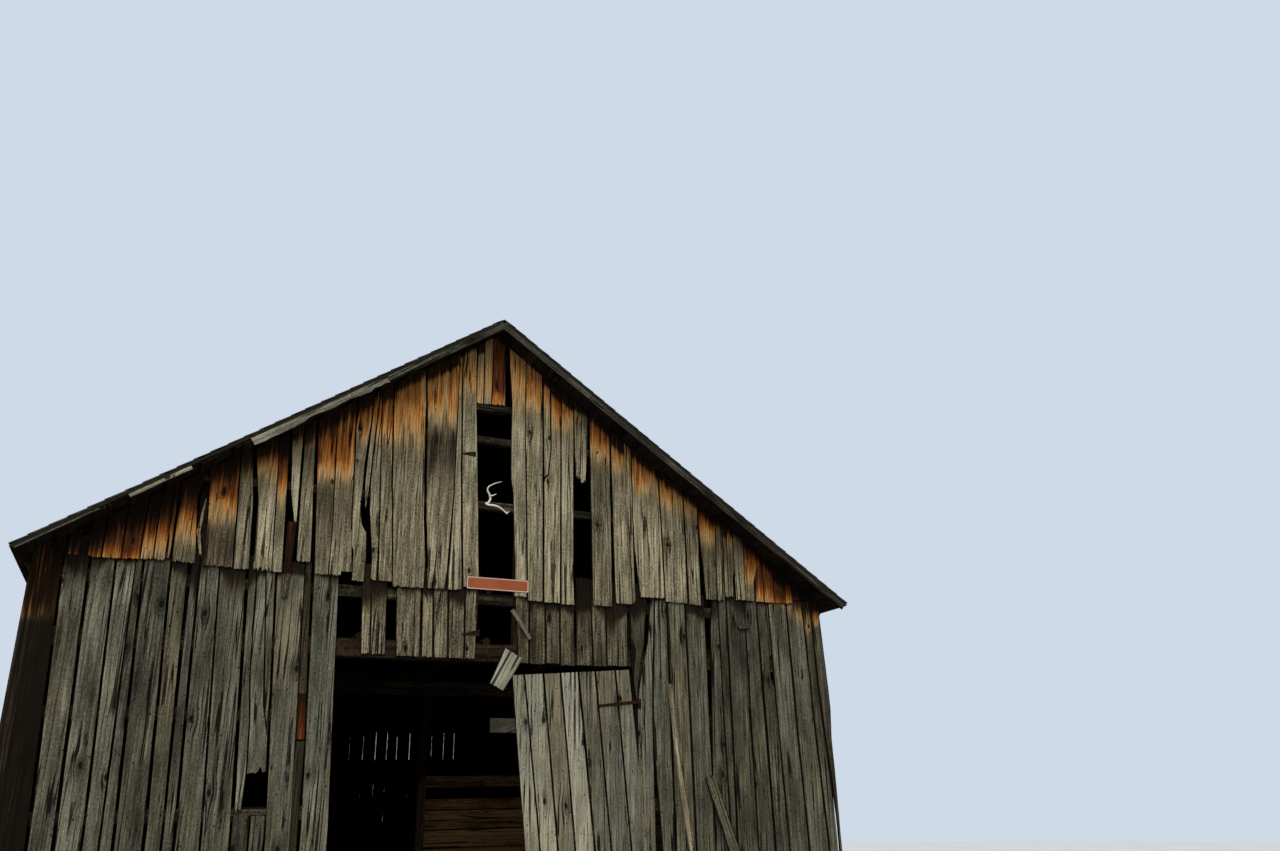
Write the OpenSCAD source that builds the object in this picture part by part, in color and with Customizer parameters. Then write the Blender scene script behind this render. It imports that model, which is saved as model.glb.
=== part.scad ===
// Old gable-fronted timber barn, weathered boards on a pegged frame, millimetres, +Z up.
// The origin is on the ground in the middle of the plan, and the front gable faces -Y.

/* [Barn] */
// Width over the side boards
barn_w = 7300; // [7100:50:8500]
// Length over the end boards
barn_l = 9100; // [7600:50:12000]
// Slope of the roof in degrees
roof_pitch = 34.2; // [31:0.1:36]
// Number of bays between the cross frames
bays = 3; // [2:1:4]

/* [Foundation] */
// Height of the footing stones
stone_h = 180; // [120:10:300]
// Width of a footing stone
stone_w = 400; // [320:10:480]
// Depth of the sill beams
sill_h = 180; // [140:10:220]

/* [Frame] */
// Side of the posts
post_w = 150; // [120:5:190]
// Depth of the wall plates
plate_h = 150; // [120:5:180]
// Depth of the tie beams
tie_h = 150; // [120:5:180]
// Width of the tie beams
tie_w = 140; // [110:5:150]
// Depth of the nailing girts
girt_h = 100; // [70:5:120]
// Thickness of the nailing girts
girt_t = 50; // [40:5:60]
// Width of a gable stud
stud_w = 100; // [70:5:120]
// Clear height between the tie beams and the wall plates
loft_gap = 327.5; // [260:0.5:420]
// Side of a knee brace
brace_w = 90; // [70:5:95]
// Reach of a knee brace along the post and the beam
brace_reach = 620; // [500:20:800]
// Height of the stall partition
stall_h = 1720; // [1200:10:2000]
// Place of the stall partition's open end
stall_x0 = 260; // [0:10:900]
// Diameter of a tier pole
pole_d = 80; // [60:5:100]
// Spacing of the tier poles
pole_step = 1150; // [900:10:1250]
// Number of tier poles side by side
pole_count = 5; // [3:1:5]

/* [Roof] */
// Number of rafter pairs
rafter_count = 11; // [8:1:14]
// Depth of a rafter
rafter_d = 120; // [100:5:150]
// Thickness of a rafter
rafter_w = 50; // [40:5:60]
// Thickness of the roof laths
lath_t = 22; // [18:1:30]
// Width of a roof lath
lath_w = 150; // [100:10:180]
// Number of laths on a slope
lath_count = 16; // [12:1:20]
// Thickness of a shingle course at its lower edge
shingle_butt = 40; // [36:1:50]
// Thickness of a shingle course at its upper edge
shingle_head = 28; // [20:1:34]
// Number of shingle courses on a slope
course_count = 32; // [24:1:40]
// Reach of the roof past the side walls
eave_reach = 137; // [100:1:200]
// Reach of the roof past the end walls
rake_reach = 320; // [250:5:400]
// Depth of the rake boards
rake_d = 65; // [50:5:140]
// Distance from the ridge down to the underside of the collar ties
collar_drop = 1340; // [1200:10:1500]
// Depth of a collar tie
collar_h = 110; // [80:5:140]

/* [Boards] */
// Thickness of the wall boards
board_t = 25; // [20:1:30]
// Height of the lower ends of the boards above the footing stones
board_clear = 15; // [5:5:60]
// Reach of the lower boards above the wall plates
lap_rise = 172.5; // [140:2.5:200]

/* [Doorway] */
// Place of the left side of the doorway
door_x0 = -1300; // [-1500:5:-1200]
// Place of the right side of the doorway
door_x1 = 1480; // [1400:5:1600]
// Height of the doorway
door_h = 2840; // [2750:5:2880]
// Gap between the head of the doorway and the highest corner of the leaf
leaf_under = 36; // [30:2:120]
// Height of the leaf's free lower corner above the ground
leaf_clear = 128.5; // [60:0.5:200]
// Lean of the leaf's boards in degrees
leaf_lean = 5.5; // [4.5:0.1:6]
// Drop of the leaf's upper edge in degrees
leaf_drop = 4.2; // [3:0.1:5.5]
// Distance from the right edge of the leaf to the hinge line at the upper hinge
hinge_reach = 62; // [55:1:75]
// Distance from the highest corner of the leaf down to the upper hinge
hinge_drop = 292; // [240:2:350]
// Height of the lower hinge
low_hinge_z = 600; // [450:10:800]
// Lean of the hinge line in degrees
hinge_lean = 4.3; // [4:0.1:4.4]
// Radius of the hinge pin
pin_r = 8; // [6:0.5:10]
// Clearance of the strap's eye round the pin
pin_gap = 0.5; // [0.3:0.1:0.8]
// Wall of the strap's eye
eye_wall = 5; // [4:0.5:6]
// Thickness of the strap hinges
strap_t = 5; // [4:0.5:6]
// Width of the strap hinges
strap_w = 32; // [26:1:40]
// Length of the strap hinges
strap_l = 410; // [300:5:500]

/* [Loft slots] */
// Distance from the ridge down to the top of the tall slot
slot_drop = 810; // [760:5:900]
// Width of the tall slot at its top
slot_w = 362; // [330:2:370]

/* [Hidden] */
$fn = 48;
far = 9000;
hair = 0.3;
half_w = barn_w / 2;
half_l = barn_l / 2;
frame_x = half_w - board_t;
frame_y = half_l - board_t;
rise = tan(roof_pitch);
roof_x = half_w + eave_reach;
roof_y = half_l + rake_reach;
skin_t = shingle_butt + lath_t;
sill_top = stone_h + sill_h;
board_foot = stone_h + board_clear;
tie_top = door_h + tie_h;
plate_z = tie_top + loft_gap;
plate_top = plate_z + plate_h;
plate_x = frame_x - post_w / 2;
ridge_h = plate_top + plate_x * rise + (skin_t + rafter_d) / cos(roof_pitch);
lap_top = plate_top + lap_rise;
slot_top = ridge_h - slot_drop;
collar_z = ridge_h - collar_drop;
slot_x1 = 190;
slot_x0 = slot_x1 - slot_w;
// Widths of the leaf's boards from the free side to the hinge side
leaf_boards = [118, 200, 156, 177, 167, 203, 142];
leaf_w = sum_before(leaf_boards, len(leaf_boards));
leaf_top = door_h - leaf_under;
leaf_h = leaf_top - leaf_w * tan(leaf_drop) - leaf_clear;
hinge_z = leaf_top - hinge_drop;
gable_y = half_l + board_t;
door_post_w = 180;
left_post_x0 = door_x0 - post_w;
right_post_x1 = door_x1 + door_post_w;
foot_side = frame_x - post_w;
bent_step = (2 * frame_y - post_w) / bays;
rafter_front = frame_y - girt_t;
rafter_step = (2 * rafter_front - rafter_w) / (rafter_count - 1);
low_girts = [1600, 2350];
collar_t = 35;
high_girt_z = ridge_h - 1170;
girt_step = 650;
gable_girts = [high_girt_z - girt_step, high_girt_z];
stud_places = [-2450, -1420, -280, 330, 1480, 2450];
pole_shift = 60;
pole_end = rafter_front - rafter_w - 20;
pole_tiers = [tie_top, plate_top];
slope_l = roof_x / cos(roof_pitch);
course_l = slope_l / course_count;

// Lower ends of the gable boards: left edge, right edge and height above the wall plates
ends_left = [
    [-far, -3340, 88], [-3340, -3275, 382], [-3275, -2900, 72], [-2900, -2675, 82],
    [-2675, -2440, 72], [-2440, -2220, 68], [-2220, -1805, 58], [-1805, -1725, -178],
    [-1725, -1590, 158], [-1590, -1325, 62], [-1325, -1245, 392], [-1245, -1110, 22],
    [-1110, -1060, 232], [-1060, -885, 30], [-885, -585, 2], [-585, -245, 10],
    [-245, slot_x0 + 77, 22]
];
ends_mid = [[slot_x1 + 60, 375, -28], [375, 535, -62], [535, 697, -68], [697, 838, -72]];
ends_right = [
    [1035, 1260, -76], [1260, 1480, -36], [1480, 1550, 292], [1550, 1800, 32],
    [1800, 2067, 8], [2067, 2215, -2], [2215, 2290, 582], [2290, 2397, 78],
    [2397, 2605, 68], [2605, 2835, 84], [2835, 3298, 80], [3298, far, 124]
];
leaf_gap = 5;
pole_foot_r = 33;
pole_head_r = 22;
pole_foot_x = 1985;
pole_foot_out = 280;
pole_head_x = 1833;
pole_head_z = 2690;
plank_w = 95;
plank_t = 30;
plank_foot_x = 2735;
plank_foot_out = 250;
plank_head_x = 2218;
plank_head_z = 1876;
leaf_back = half_l + 8;
ledge_t = board_t;
ledge_h = 120;
ledge_reach = 178;
ledge_step = 905;
ledges = [for (k = [2, 1, 0]) leaf_top - 579 - k * ledge_step];
pin_y = -(leaf_back + board_t + strap_t / 2 + 3);
eye_r = pin_r + pin_gap + eye_wall;
eye_l = strap_w;
// Rake boards of a slope: upper end, lower end along the slope and extra depth
lath_end = slope_l - 20;
rake_left = [[0, 1345, 0], [1352, 2670, 15], [3190, 3700, -25], [3930, lath_end, -40]];
rake_right = [[0, 845, 0], [850, 1140, 0], [1145, lath_end, 0]];

// Height of the roof's outer face above a place across the barn, less a depth square to the slope
function under(x, depth) = ridge_h - abs(x) * rise - depth / cos(roof_pitch);

// Middle of a cross frame along the barn
function bent_y(i) = -frame_y + post_w / 2 + i * bent_step;

// Front face of a rafter
function rafter_y(i) = -rafter_front + i * rafter_step;

// Place across the barn of the leaf's left edge at a height
function leaf_left(z) = leaf_x1(z) - leaf_w;

// Place across the barn of the leaf's right edge at a height
function leaf_x1(z) = door_x1 - 70 + (leaf_top - z) * tan(leaf_lean);

// Place across the barn of the hinge line at a height
function hinge_x(z) = leaf_x1(hinge_z) + hinge_reach + (hinge_z - z) * tan(hinge_lean);

// Corners of a row of board ends, from left to right
function steps(ends) = [for (e = ends) each [[e[0], plate_top + e[2]], [e[1], plate_top + e[2]]]];

// Box between two corners
module block(a, b) {
    translate(a) cube(b - a);
}

// Flat outline in X and Z, given a thickness towards +Y from the place y
module upright(y, t) {
    translate([0, y + t, 0]) rotate([90, 0, 0]) linear_extrude(t) children();
}

// Everything below the roof at a depth, within a half width and above a floor
module gable_prism(y, t, half, floor_z, depth) {
    upright(y, t) polygon([
        [-half, floor_z], [half, floor_z], [half, under(half, depth)],
        [0, under(0, depth)], [-half, under(half, depth)]
    ]);
}

// The same shape at both ends of the barn
module both_ends() {
    children();
    mirror([0, 1, 0]) children();
}

// The same shape on both sides of the barn
module both_sides() {
    children();
    mirror([1, 0, 0]) children();
}

// Irregular flat stone with its middle at x, y
module stone(x, y, w, turn) {
    translate([x, y, 0]) rotate(turn) linear_extrude(stone_h) polygon([
        for (k = [0:8]) (w / 2) * (1 - 0.12 * abs(sin(k * 77 + turn))) * [cos(k * 40), sin(k * 40)]
    ]);
}

// Sloping strip of a roof side: from s0 to s1 down from the ridge, from depth d0 to d1 under the face
module slope_strip(side, s0, s1, d0, d1, y, t) {
    c = cos(roof_pitch);
    s = sin(roof_pitch);
    upright(y, t) polygon([
        for (p = [[s0, d0], [s1, d0], [s1, d1], [s0, d1]])
            [side * (p[0] * c - p[1] * s), ridge_h - p[0] * s - p[1] * c]
    ]);
}

module stone_footings() {
    color("dimgray") {
        for (i = [0:bays]) {
            stone(-plate_x, bent_y(i), stone_w, 10 + 31 * i);
            stone(plate_x, bent_y(i), stone_w, 25 + 47 * i);
        }
        stone((left_post_x0 + door_x0) / 2, bent_y(0), stone_w * 0.8, 15);
        stone((right_post_x1 + door_x1) / 2, bent_y(0), stone_w * 0.8, 52);
        stone(left_post_x0, bent_y(bays), stone_w, 33);
        stone(right_post_x1, bent_y(bays), stone_w, 71);
    }
}

module side_sills() {
    color("saddlebrown") both_sides()
        block([foot_side, -frame_y, stone_h], [frame_x, frame_y, sill_top]);
}

module end_sills() {
    color("saddlebrown") {
        block([-foot_side, -frame_y, stone_h], [left_post_x0, -frame_y + post_w, sill_top]);
        block([right_post_x1, -frame_y, stone_h], [foot_side, -frame_y + post_w, sill_top]);
        block([-foot_side, frame_y - post_w, stone_h], [foot_side, frame_y, sill_top]);
    }
}

module side_posts() {
    color("peru") both_sides() for (i = [0:bays])
        block([foot_side, bent_y(i) - post_w / 2, sill_top], [frame_x, bent_y(i) + post_w / 2, plate_z]);
}

module door_posts() {
    color("peru") {
        block([left_post_x0, -frame_y, stone_h], [door_x0, -frame_y + post_w, door_h]);
        block([door_x1, -frame_y, stone_h], [right_post_x1, -frame_y + post_w, door_h]);
    }
}

module back_posts() {
    color("peru") for (x = [left_post_x0, right_post_x1 - post_w])
        block([x, frame_y - post_w, sill_top], [x + post_w, frame_y, door_h]);
}

module wall_plates() {
    color("sienna") both_sides()
        block([foot_side, -frame_y, plate_z], [frame_x, frame_y, plate_top]);
}

// Tie beam between the side posts, with its outer face at y
module tie_beam(y, t) {
    block([-foot_side, y, door_h], [foot_side, y + t, tie_top]);
}

module front_tie() {
    color("sienna") tie_beam(-frame_y, post_w);
}

module inner_ties() {
    color("sienna") for (i = [1:bays - 1]) tie_beam(bent_y(i) - tie_w / 2, tie_w);
}

module back_tie() {
    color("sienna") tie_beam(frame_y - post_w, post_w);
}

module loft_ties() {
    color("sienna") for (i = [1:bays - 1])
        block([-foot_side, bent_y(i) - tie_w / 2, plate_z], [foot_side, bent_y(i) + tie_w / 2, plate_top]);
}

// Keeps what lies on one side of the ridge
module on_side(side) {
    intersection() {
        union() children();
        block([min(0, side * far), -far, -far], [max(0, side * far), far, far]);
    }
}

// Middle of the knee braces of a cross frame, behind the girts of the end walls
function brace_y(i) = bent_y(i) + (i == 0 ? girt_t / 2 : i == bays ? -girt_t / 2 : 0);

// Brace in the corner under a beam, in the upright plane of its own X, with the corner at the origin
module knee_brace() {
    upright(-brace_w / 2, brace_w) polygon([
        [0, -brace_reach], [0, -brace_reach + brace_w * 1.4],
        [brace_reach - brace_w * 1.4, 0], [brace_reach, 0]
    ]);
}

module cross_braces() {
    color("peru") both_sides() for (i = [0:bays])
        translate([-foot_side, brace_y(i), door_h]) knee_brace();
}

module side_braces() {
    color("peru") both_sides() for (i = [0:bays - 1]) {
        translate([-plate_x, bent_y(i) + post_w / 2, plate_z]) rotate(90) knee_brace();
        translate([-plate_x, bent_y(i + 1) - post_w / 2, plate_z]) rotate(-90) knee_brace();
    }
}

module side_girts() {
    color("burlywood") both_sides() for (i = [0:bays - 1]) for (z = low_girts)
        block(
            [frame_x - girt_t, bent_y(i) + post_w / 2 + hair, z - girt_h / 2],
            [frame_x, bent_y(i + 1) - post_w / 2 - hair, z + girt_h / 2]
        );
}

module front_girts() {
    color("burlywood") {
        for (z = low_girts) for (span = [[-foot_side, left_post_x0], [right_post_x1, foot_side]])
            end_girt(span, z);
        lap_girt();
    }
}

// Girt of an end wall between two places across the barn, with its middle at a height
module end_girt(span, z) {
    block([span[0], -frame_y, z - girt_h / 2], [span[1], -frame_y + girt_t, z + girt_h / 2]);
}

// Girt behind the lap of the upper boards over the lower ones
module lap_girt() {
    block([-foot_side, -frame_y, plate_top - girt_h - 20], [foot_side, -frame_y + girt_t, plate_top - 20]);
}

module back_girts() {
    spans = [
        [-foot_side, left_post_x0], [door_x0, right_post_x1 - post_w], [right_post_x1, foot_side]
    ];
    color("burlywood") mirror([0, 1, 0]) {
        for (z = low_girts) for (span = spans) end_girt(span, z);
        lap_girt();
    }
}

// Girts of a gable, level with the outer face of the lower boards and cut under the laths
module gable_rails(heights) {
    intersection() {
        for (z = heights)
            block([-far / 2, -half_l, z - girt_h / 2 + 15], [far / 2, -rafter_front, z + girt_h / 2 - 15]);
        gable_prism(-half_l, half_l - rafter_front, frame_x, lap_top, skin_t);
    }
}

module gable_girts() {
    color("burlywood") {
        gable_rails(concat(gable_girts, [slot_top - 20]));
        mirror([0, 1, 0]) gable_rails(gable_girts);
    }
}

// Studs from the tie beam up to the end rafters
module gable_studs() {
    intersection() {
        for (x = stud_places)
            translate([x - stud_w / 2, -rafter_front, tie_top]) cube([stud_w, rafter_w, far]);
        gable_prism(-rafter_front, rafter_w, frame_x, door_h, skin_t + rafter_d + hair);
    }
}

module front_studs() {
    color("burlywood") gable_studs();
}

module back_studs() {
    color("burlywood") mirror([0, 1, 0]) gable_studs();
}

// Poles along the barn that rest on the tie beams
module tier_poles() {
    color("peru") for (z = pole_tiers) for (k = [0:pole_count - 1])
        translate([(k - (pole_count - 1) / 2) * pole_step + pole_shift, -pole_end, z + pole_d / 2])
            rotate([-90, 0, 0]) cylinder(d = pole_d, h = 2 * pole_end);
}

// Rafters of one side, seated on the wall plate
module rafter_row(side) {
    difference() {
        on_side(side) for (i = [0:rafter_count - 1])
            slope_strip(side, -200, slope_l - 40, skin_t, skin_t + rafter_d, rafter_y(i), rafter_w);
        both_sides() block([foot_side, -frame_y, plate_z], [frame_x, frame_y, plate_top]);
    }
}

module rafters_left() {
    color("peru") rafter_row(-1);
}

module rafters_right() {
    color("peru") rafter_row(1);
}

module collar_ties() {
    color("burlywood") for (i = [2:2:rafter_count - 3])
        intersection() {
            translate([-far / 2, rafter_y(i) + rafter_w, collar_z]) cube([far, collar_t, collar_h]);
            gable_prism(-far, 2 * far, far / 2, 0, skin_t + 15);
        }
}

module lath_row(side) {
    first = skin_t * rise + 10;
    pitch = (lath_end - lath_w - first) / (lath_count - 1);
    y = roof_y - board_t;
    for (s = [for (k = [0:lath_count - 1]) first + k * pitch])
        slope_strip(side, s, s + lath_w, shingle_butt + hair, skin_t - hair, -y, 2 * y);
}

module laths_left() {
    color("tan") lath_row(-1);
}

module laths_right() {
    color("tan") lath_row(1);
}

// Stepped courses of one slope, cut plumb at the ridge
module shingle_slope(side) {
    c = cos(roof_pitch);
    s = sin(roof_pitch);
    profile = concat(
        [[-200, shingle_butt]],
        [[-200, shingle_butt - shingle_head]],
        [for (k = [0:course_count - 1]) each [
            [k * course_l, shingle_butt - shingle_head], [(k + 1) * course_l, 0]
        ]],
        [[slope_l, shingle_butt]]
    );
    on_side(side) upright(-roof_y, 2 * roof_y)
        polygon([for (p = profile) [side * (p[0] * c - p[1] * s), ridge_h - p[0] * s - p[1] * c]]);
}

module shingles_left() {
    color("gray") shingle_slope(-1);
}

module shingles_right() {
    color("gray") shingle_slope(1);
}

// Rake boards of one slope in pieces, on the ends of the laths
module rake_row(side, pieces) {
    on_side(side) for (p = pieces)
        slope_strip(side, p[0], p[1], shingle_butt + hair, shingle_butt + rake_d + p[2], -roof_y, board_t);
}

module rake_boards_left() {
    color("darkgray") {
        rake_row(-1, rake_left);
        mirror([0, 1, 0]) rake_row(-1, rake_right);
    }
}

module rake_boards_right() {
    color("darkgray") {
        rake_row(1, rake_right);
        mirror([0, 1, 0]) rake_row(1, rake_right);
    }
}

// Lower boards of an end wall as one sheet under the roof
module end_sheet() {
    gable_prism(-half_l, board_t, half_w, board_foot, skin_t);
}

module lower_sheet(outline) {
    intersection() {
        end_sheet();
        upright(-half_l, board_t) polygon(outline);
    }
}

module front_wall_left() {
    color("gray") difference() {
        lower_sheet([[-far, 0], [door_x0 + 38, 0], [door_x0 - 20, lap_top], [-far, lap_top]]);
        translate([door_x0, 0, low_girts[0]])
            upright(-far, far) polygon([[-612, 30], [-485, 32], [-492, 305], [-600, 280]]);
    }
}

module front_wall_right() {
    edge = door_x1 + 15;
    head = door_x1 - 50;
    slot_z = [low_girts[0] + 200, plate_top + 72];
    color("gray") difference() {
        lower_sheet([
            [edge, 0], [edge, door_h - 360], [head, plate_top + 12], [head, lap_top],
            [far, lap_top], [far, 0]
        ]);
        translate([door_x1, 0, 0]) upright(-far, far)
            polygon([[842, slot_z[0]], [865, slot_z[1]], [800, slot_z[1]], [812, slot_z[0]]]);
    }
}

// Short boards that end near the head of the doorway, from their lower edge up to their upper edge
module short_sheet(x, rise_over_door, low, high) {
    z = door_h + rise_over_door;
    lower_sheet([[x + low[0], z], [x + low[1], z], [x + high[1], lap_top], [x + high[0], lap_top]]);
}

// Boards between the doorway and the lap, with the tall slot running down through them
module front_wall_over_door() {
    color("gray") {
        short_sheet(door_x0, 24, [206, 412], [160, 412]);
        short_sheet(door_x0, 12, [505, 1258], [470, 1208]);
        short_sheet(door_x1, -10, [-1162, -78], [-1218, -60]);
    }
}

// Gable boards within their own outline, under the laths
module gable_sheet(outline) {
    intersection() {
        upright(-gable_y, board_t) polygon(outline);
        gable_prism(-gable_y, board_t, half_w - 145, 0, skin_t);
    }
}

module gable_boards_left() {
    color("sandybrown")
        gable_sheet(concat(steps(ends_left), [[slot_x0 - 46, ridge_h], [-far, ridge_h]]));
}

// Boards between the two slots, with the short boards over the tall slot
module gable_boards_middle() {
    color("sandybrown") {
        gable_sheet(concat(steps(ends_mid), [[828, ridge_h], [slot_x1 - 25, ridge_h]]));
        gable_sheet([
            [slot_x0, slot_top], [slot_x1 - 78, slot_top], [slot_x1 - 85, ridge_h], [slot_x0 - 35, ridge_h]
        ]);
    }
}

// Boards right of the short slot, with the broken stub of the board that filled it
module gable_boards_right() {
    stub_z = ridge_h - 1500;
    color("sandybrown") {
        gable_sheet(concat(steps(ends_right), [[far, ridge_h], [992, ridge_h]]));
        gable_sheet([
            [842, stub_z + 100], [900, stub_z + 40], [960, stub_z], [998, stub_z + 40],
            [984, ridge_h], [836, ridge_h]
        ]);
    }
}

module side_wall() {
    block([frame_x, -frame_y, board_foot], [half_w, frame_y, under(half_w, skin_t + rafter_d)]);
}

module left_wall() {
    color("gray") mirror([1, 0, 0]) side_wall();
}

module right_wall() {
    color("gray") side_wall();
}

module back_wall() {
    color("gray") mirror([0, 1, 0])
        lower_sheet([[-far, 0], [far, 0], [far, lap_top], [-far, lap_top]]);
}

// Back gable boards, short of the lap where their ends have gone
module back_gable() {
    end_z = plate_top + 72;
    color("sandybrown") mirror([0, 1, 0])
        gable_sheet([
            [-far, end_z], [1280, end_z], [1280, lap_top + 160], [1960, lap_top + 160], [1960, end_z],
            [far, end_z], [far, ridge_h], [-far, ridge_h]
        ]);
}

// Boards of the leaf, each leaning with the leaf and cut along its dropped upper edge
module door_boards() {
    slant = tan(leaf_lean);
    color("lightgray") for (k = [0:len(leaf_boards) - 1]) {
        a = sum_before(leaf_boards, k);
        b = a + leaf_boards[k] - leaf_gap;
        upright(-leaf_back - board_t, board_t) polygon([
            for (p = [[a, 0], [b, 0], [b, leaf_h], [a, leaf_h]])
                leaf_point(p[0], p[1], slant)
        ]);
    }
}

// Sum of the entries before one entry of a list
function sum_before(list, k) = k == 0 ? 0 : list[k - 1] + sum_before(list, k - 1);

// Point of the leaf from its upper left corner, across and down its boards
function leaf_point(across, down, slant) =
    let (z = leaf_top - (leaf_w - across) * tan(leaf_drop) - down)
    [leaf_x1(leaf_top) - leaf_w + across + (leaf_top - z) * slant, z];

// Level ledges behind the leaf's boards and the braces between them
module door_ledges() {
    color("darkgray") {
        for (z = ledges) {
            x0 = z == ledges[2] ? leaf_left(leaf_top) - ledge_reach : leaf_left(z) + 40;
            block([x0, -leaf_back, z], [door_x1 - 25, -leaf_back + ledge_t, z + ledge_h]);
        }
        for (k = [0, 1])
            upright(-leaf_back, ledge_t) polygon([
                [door_x1 - 180, ledges[k] + ledge_h - hair], [door_x1 - 40, ledges[k] + ledge_h - hair],
                [leaf_left(ledges[k + 1]) + 200, ledges[k + 1] + hair],
                [leaf_left(ledges[k + 1]) + 60, ledges[k + 1] + hair]
            ]);
    }
}

// Tapered strap with its eye round the hinge line at a height
module strap(z) {
    x = hinge_x(z);
    eye_x = x - eye_r;
    difference() {
        union() {
            upright(-leaf_back - board_t - strap_t, strap_t) polygon([
                [x, z - strap_w / 2], [x, z + strap_w / 2],
                [x - strap_l, z + strap_w / 2 - 50], [x - strap_l, z - strap_w / 2 - 42]
            ]);
            hinge_turned(z) cylinder(r = eye_r, h = eye_l, center = true);
        }
        hinge_turned(z) cylinder(r = pin_r + pin_gap, h = eye_l * 2, center = true);
    }
}

// Place on the hinge line at a height, with +Z along the line
module hinge_turned(z) {
    translate([hinge_x(z), pin_y, z]) rotate([0, -hinge_lean, 0]) children();
}

module door_straps() {
    color("brown") {
        strap(hinge_z);
        strap(low_hinge_z);
    }
}

// Pin on its arm and nailing plate
module pintle(z) {
    reach = -pin_y - half_l;
    hinge_turned(z) {
        translate([0, 0, -eye_l / 2 - 14 - hair]) cylinder(r = pin_r, h = eye_l + 24);
        translate([0, 0, -eye_l / 2 - 14 - hair]) cylinder(r = eye_r, h = 14);
    }
    arm_z = z - eye_l / 2 - 12;
    translate([hinge_x(z) - pin_r, pin_y, arm_z]) cube([2 * pin_r, reach - strap_t, 9]);
    translate([hinge_x(z) - pin_r, -half_l - strap_t, z - 60]) cube([42, strap_t, 90]);
}

module door_pintles() {
    color("brown") {
        pintle(hinge_z);
        pintle(low_hinge_z);
    }
}

// Tapered hinge halves left beside the tall slot
module loft_hinges() {
    color("brown") {
        translate([slot_x0, 0, slot_top - 500]) upright(-gable_y - strap_t, strap_t)
            polygon([[-130, -38], [-130, -28], [14, 0], [14, -55]]);
        translate([slot_x0, 0, tie_top + 128]) upright(-half_l - strap_t, strap_t)
            polygon([[-46, -60], [-46, -48], [114, 0], [114, -64]]);
    }
}

// Plank that hangs over the end of the tie beam, and a strip nailed across the boards beside it
module hanging_boards() {
    color("silver") {
        translate([slot_x1, 0, door_h]) {
            upright(-half_l, board_t) polygon([[53, 166], [102, -18], [-19, -265], [-137, -191]]);
            upright(-half_l - board_t, board_t) polygon([[25, 450], [58, 478], [234, 222], [206, 194]]);
        }
    }
}

// What leans on the wall, from its foot on the ground to its head, with its own Z along it
module leaning(foot, head) {
    d = head - foot;
    intersection() {
        translate(foot) rotate([-asin(d[1] / norm(d)), atan2(d[0], d[2]), 0]) children();
        block([-far, -far, 0], [far, far, far]);
    }
}

module leaning_pole() {
    foot = [pole_foot_x, -half_l - pole_foot_out, 0];
    head = [pole_head_x, -half_l - pole_head_r - hair, pole_head_z];
    color("wheat") leaning(foot, head)
        translate([0, 0, -20]) cylinder(r1 = pole_foot_r, r2 = pole_head_r, h = norm(head - foot) + 20);
}

module leaning_board() {
    foot = [plank_foot_x, -half_l - plank_foot_out, 0];
    head = [plank_head_x, -half_l - hair, plank_head_z];
    color("darkgray") leaning(foot, head)
        block([-plank_w / 2, -plank_t, -60], [plank_w / 2, 0, norm(head - foot)]);
}

// Boarded side of a stall at the first inner cross frame, with its post under the tie beam
module stall_partition() {
    y = bent_y(1);
    color("sienna") {
        block([stall_x0 - stud_w, y - stud_w / 2, 0], [stall_x0, y + stud_w / 2, door_h]);
        block([stall_x0, y - board_t, board_foot], [foot_side, y, stall_h]);
        block([stall_x0, y - board_t, stall_h + 110], [foot_side, y, stall_h + 240]);
    }
}

stone_footings();
side_sills();
end_sills();
side_posts();
door_posts();
back_posts();
wall_plates();
front_tie();
inner_ties();
back_tie();
loft_ties();
cross_braces();
side_braces();
side_girts();
front_girts();
back_girts();
gable_girts();
front_studs();
back_studs();
tier_poles();
rafters_left();
rafters_right();
collar_ties();
laths_left();
laths_right();
shingles_left();
shingles_right();
rake_boards_left();
rake_boards_right();
front_wall_left();
front_wall_right();
front_wall_over_door();
gable_boards_left();
gable_boards_middle();
gable_boards_right();
left_wall();
right_wall();
back_wall();
back_gable();
door_boards();
door_ledges();
door_straps();
door_pintles();
loft_hinges();
stall_partition();
hanging_boards();
leaning_pole();
leaning_board();
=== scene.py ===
import math
import random

import bmesh
import bpy
import numpy as np
from mathutils import Matrix, Vector, noise


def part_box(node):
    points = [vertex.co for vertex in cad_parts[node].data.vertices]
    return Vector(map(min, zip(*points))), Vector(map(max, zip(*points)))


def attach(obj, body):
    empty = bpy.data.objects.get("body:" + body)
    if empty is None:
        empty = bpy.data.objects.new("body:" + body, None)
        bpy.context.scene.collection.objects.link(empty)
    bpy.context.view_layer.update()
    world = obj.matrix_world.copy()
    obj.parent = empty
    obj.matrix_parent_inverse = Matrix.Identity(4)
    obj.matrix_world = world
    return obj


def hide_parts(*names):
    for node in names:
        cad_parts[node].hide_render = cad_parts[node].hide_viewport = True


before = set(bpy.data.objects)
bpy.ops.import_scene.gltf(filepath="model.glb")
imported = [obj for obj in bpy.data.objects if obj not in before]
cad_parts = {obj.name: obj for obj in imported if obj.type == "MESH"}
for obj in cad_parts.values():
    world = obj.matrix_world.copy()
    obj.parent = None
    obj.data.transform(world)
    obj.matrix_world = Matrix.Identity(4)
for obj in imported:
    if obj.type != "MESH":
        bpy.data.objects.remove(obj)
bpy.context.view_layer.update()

# Looks of an old gable-fronted timber barn, in metres: its separate boards, shingles, nails and stones.
# Board edges read from the photograph are lists of (height, place across) in millimetres.
MM = 0.001
EDGE_WEAR_AND_HIGHLIGHT = 0.05  # how much lighter a board is along its edges: wear, and painted highlight where they catch the light
INSET = 0.0018  # from a seam's place to the edge of the board beside it
HAIR = 0.0003  # clearance between pieces that would touch
RUN_ON = 9  # how far a board's edge runs on past its last points
rand = random.Random(34)

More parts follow.
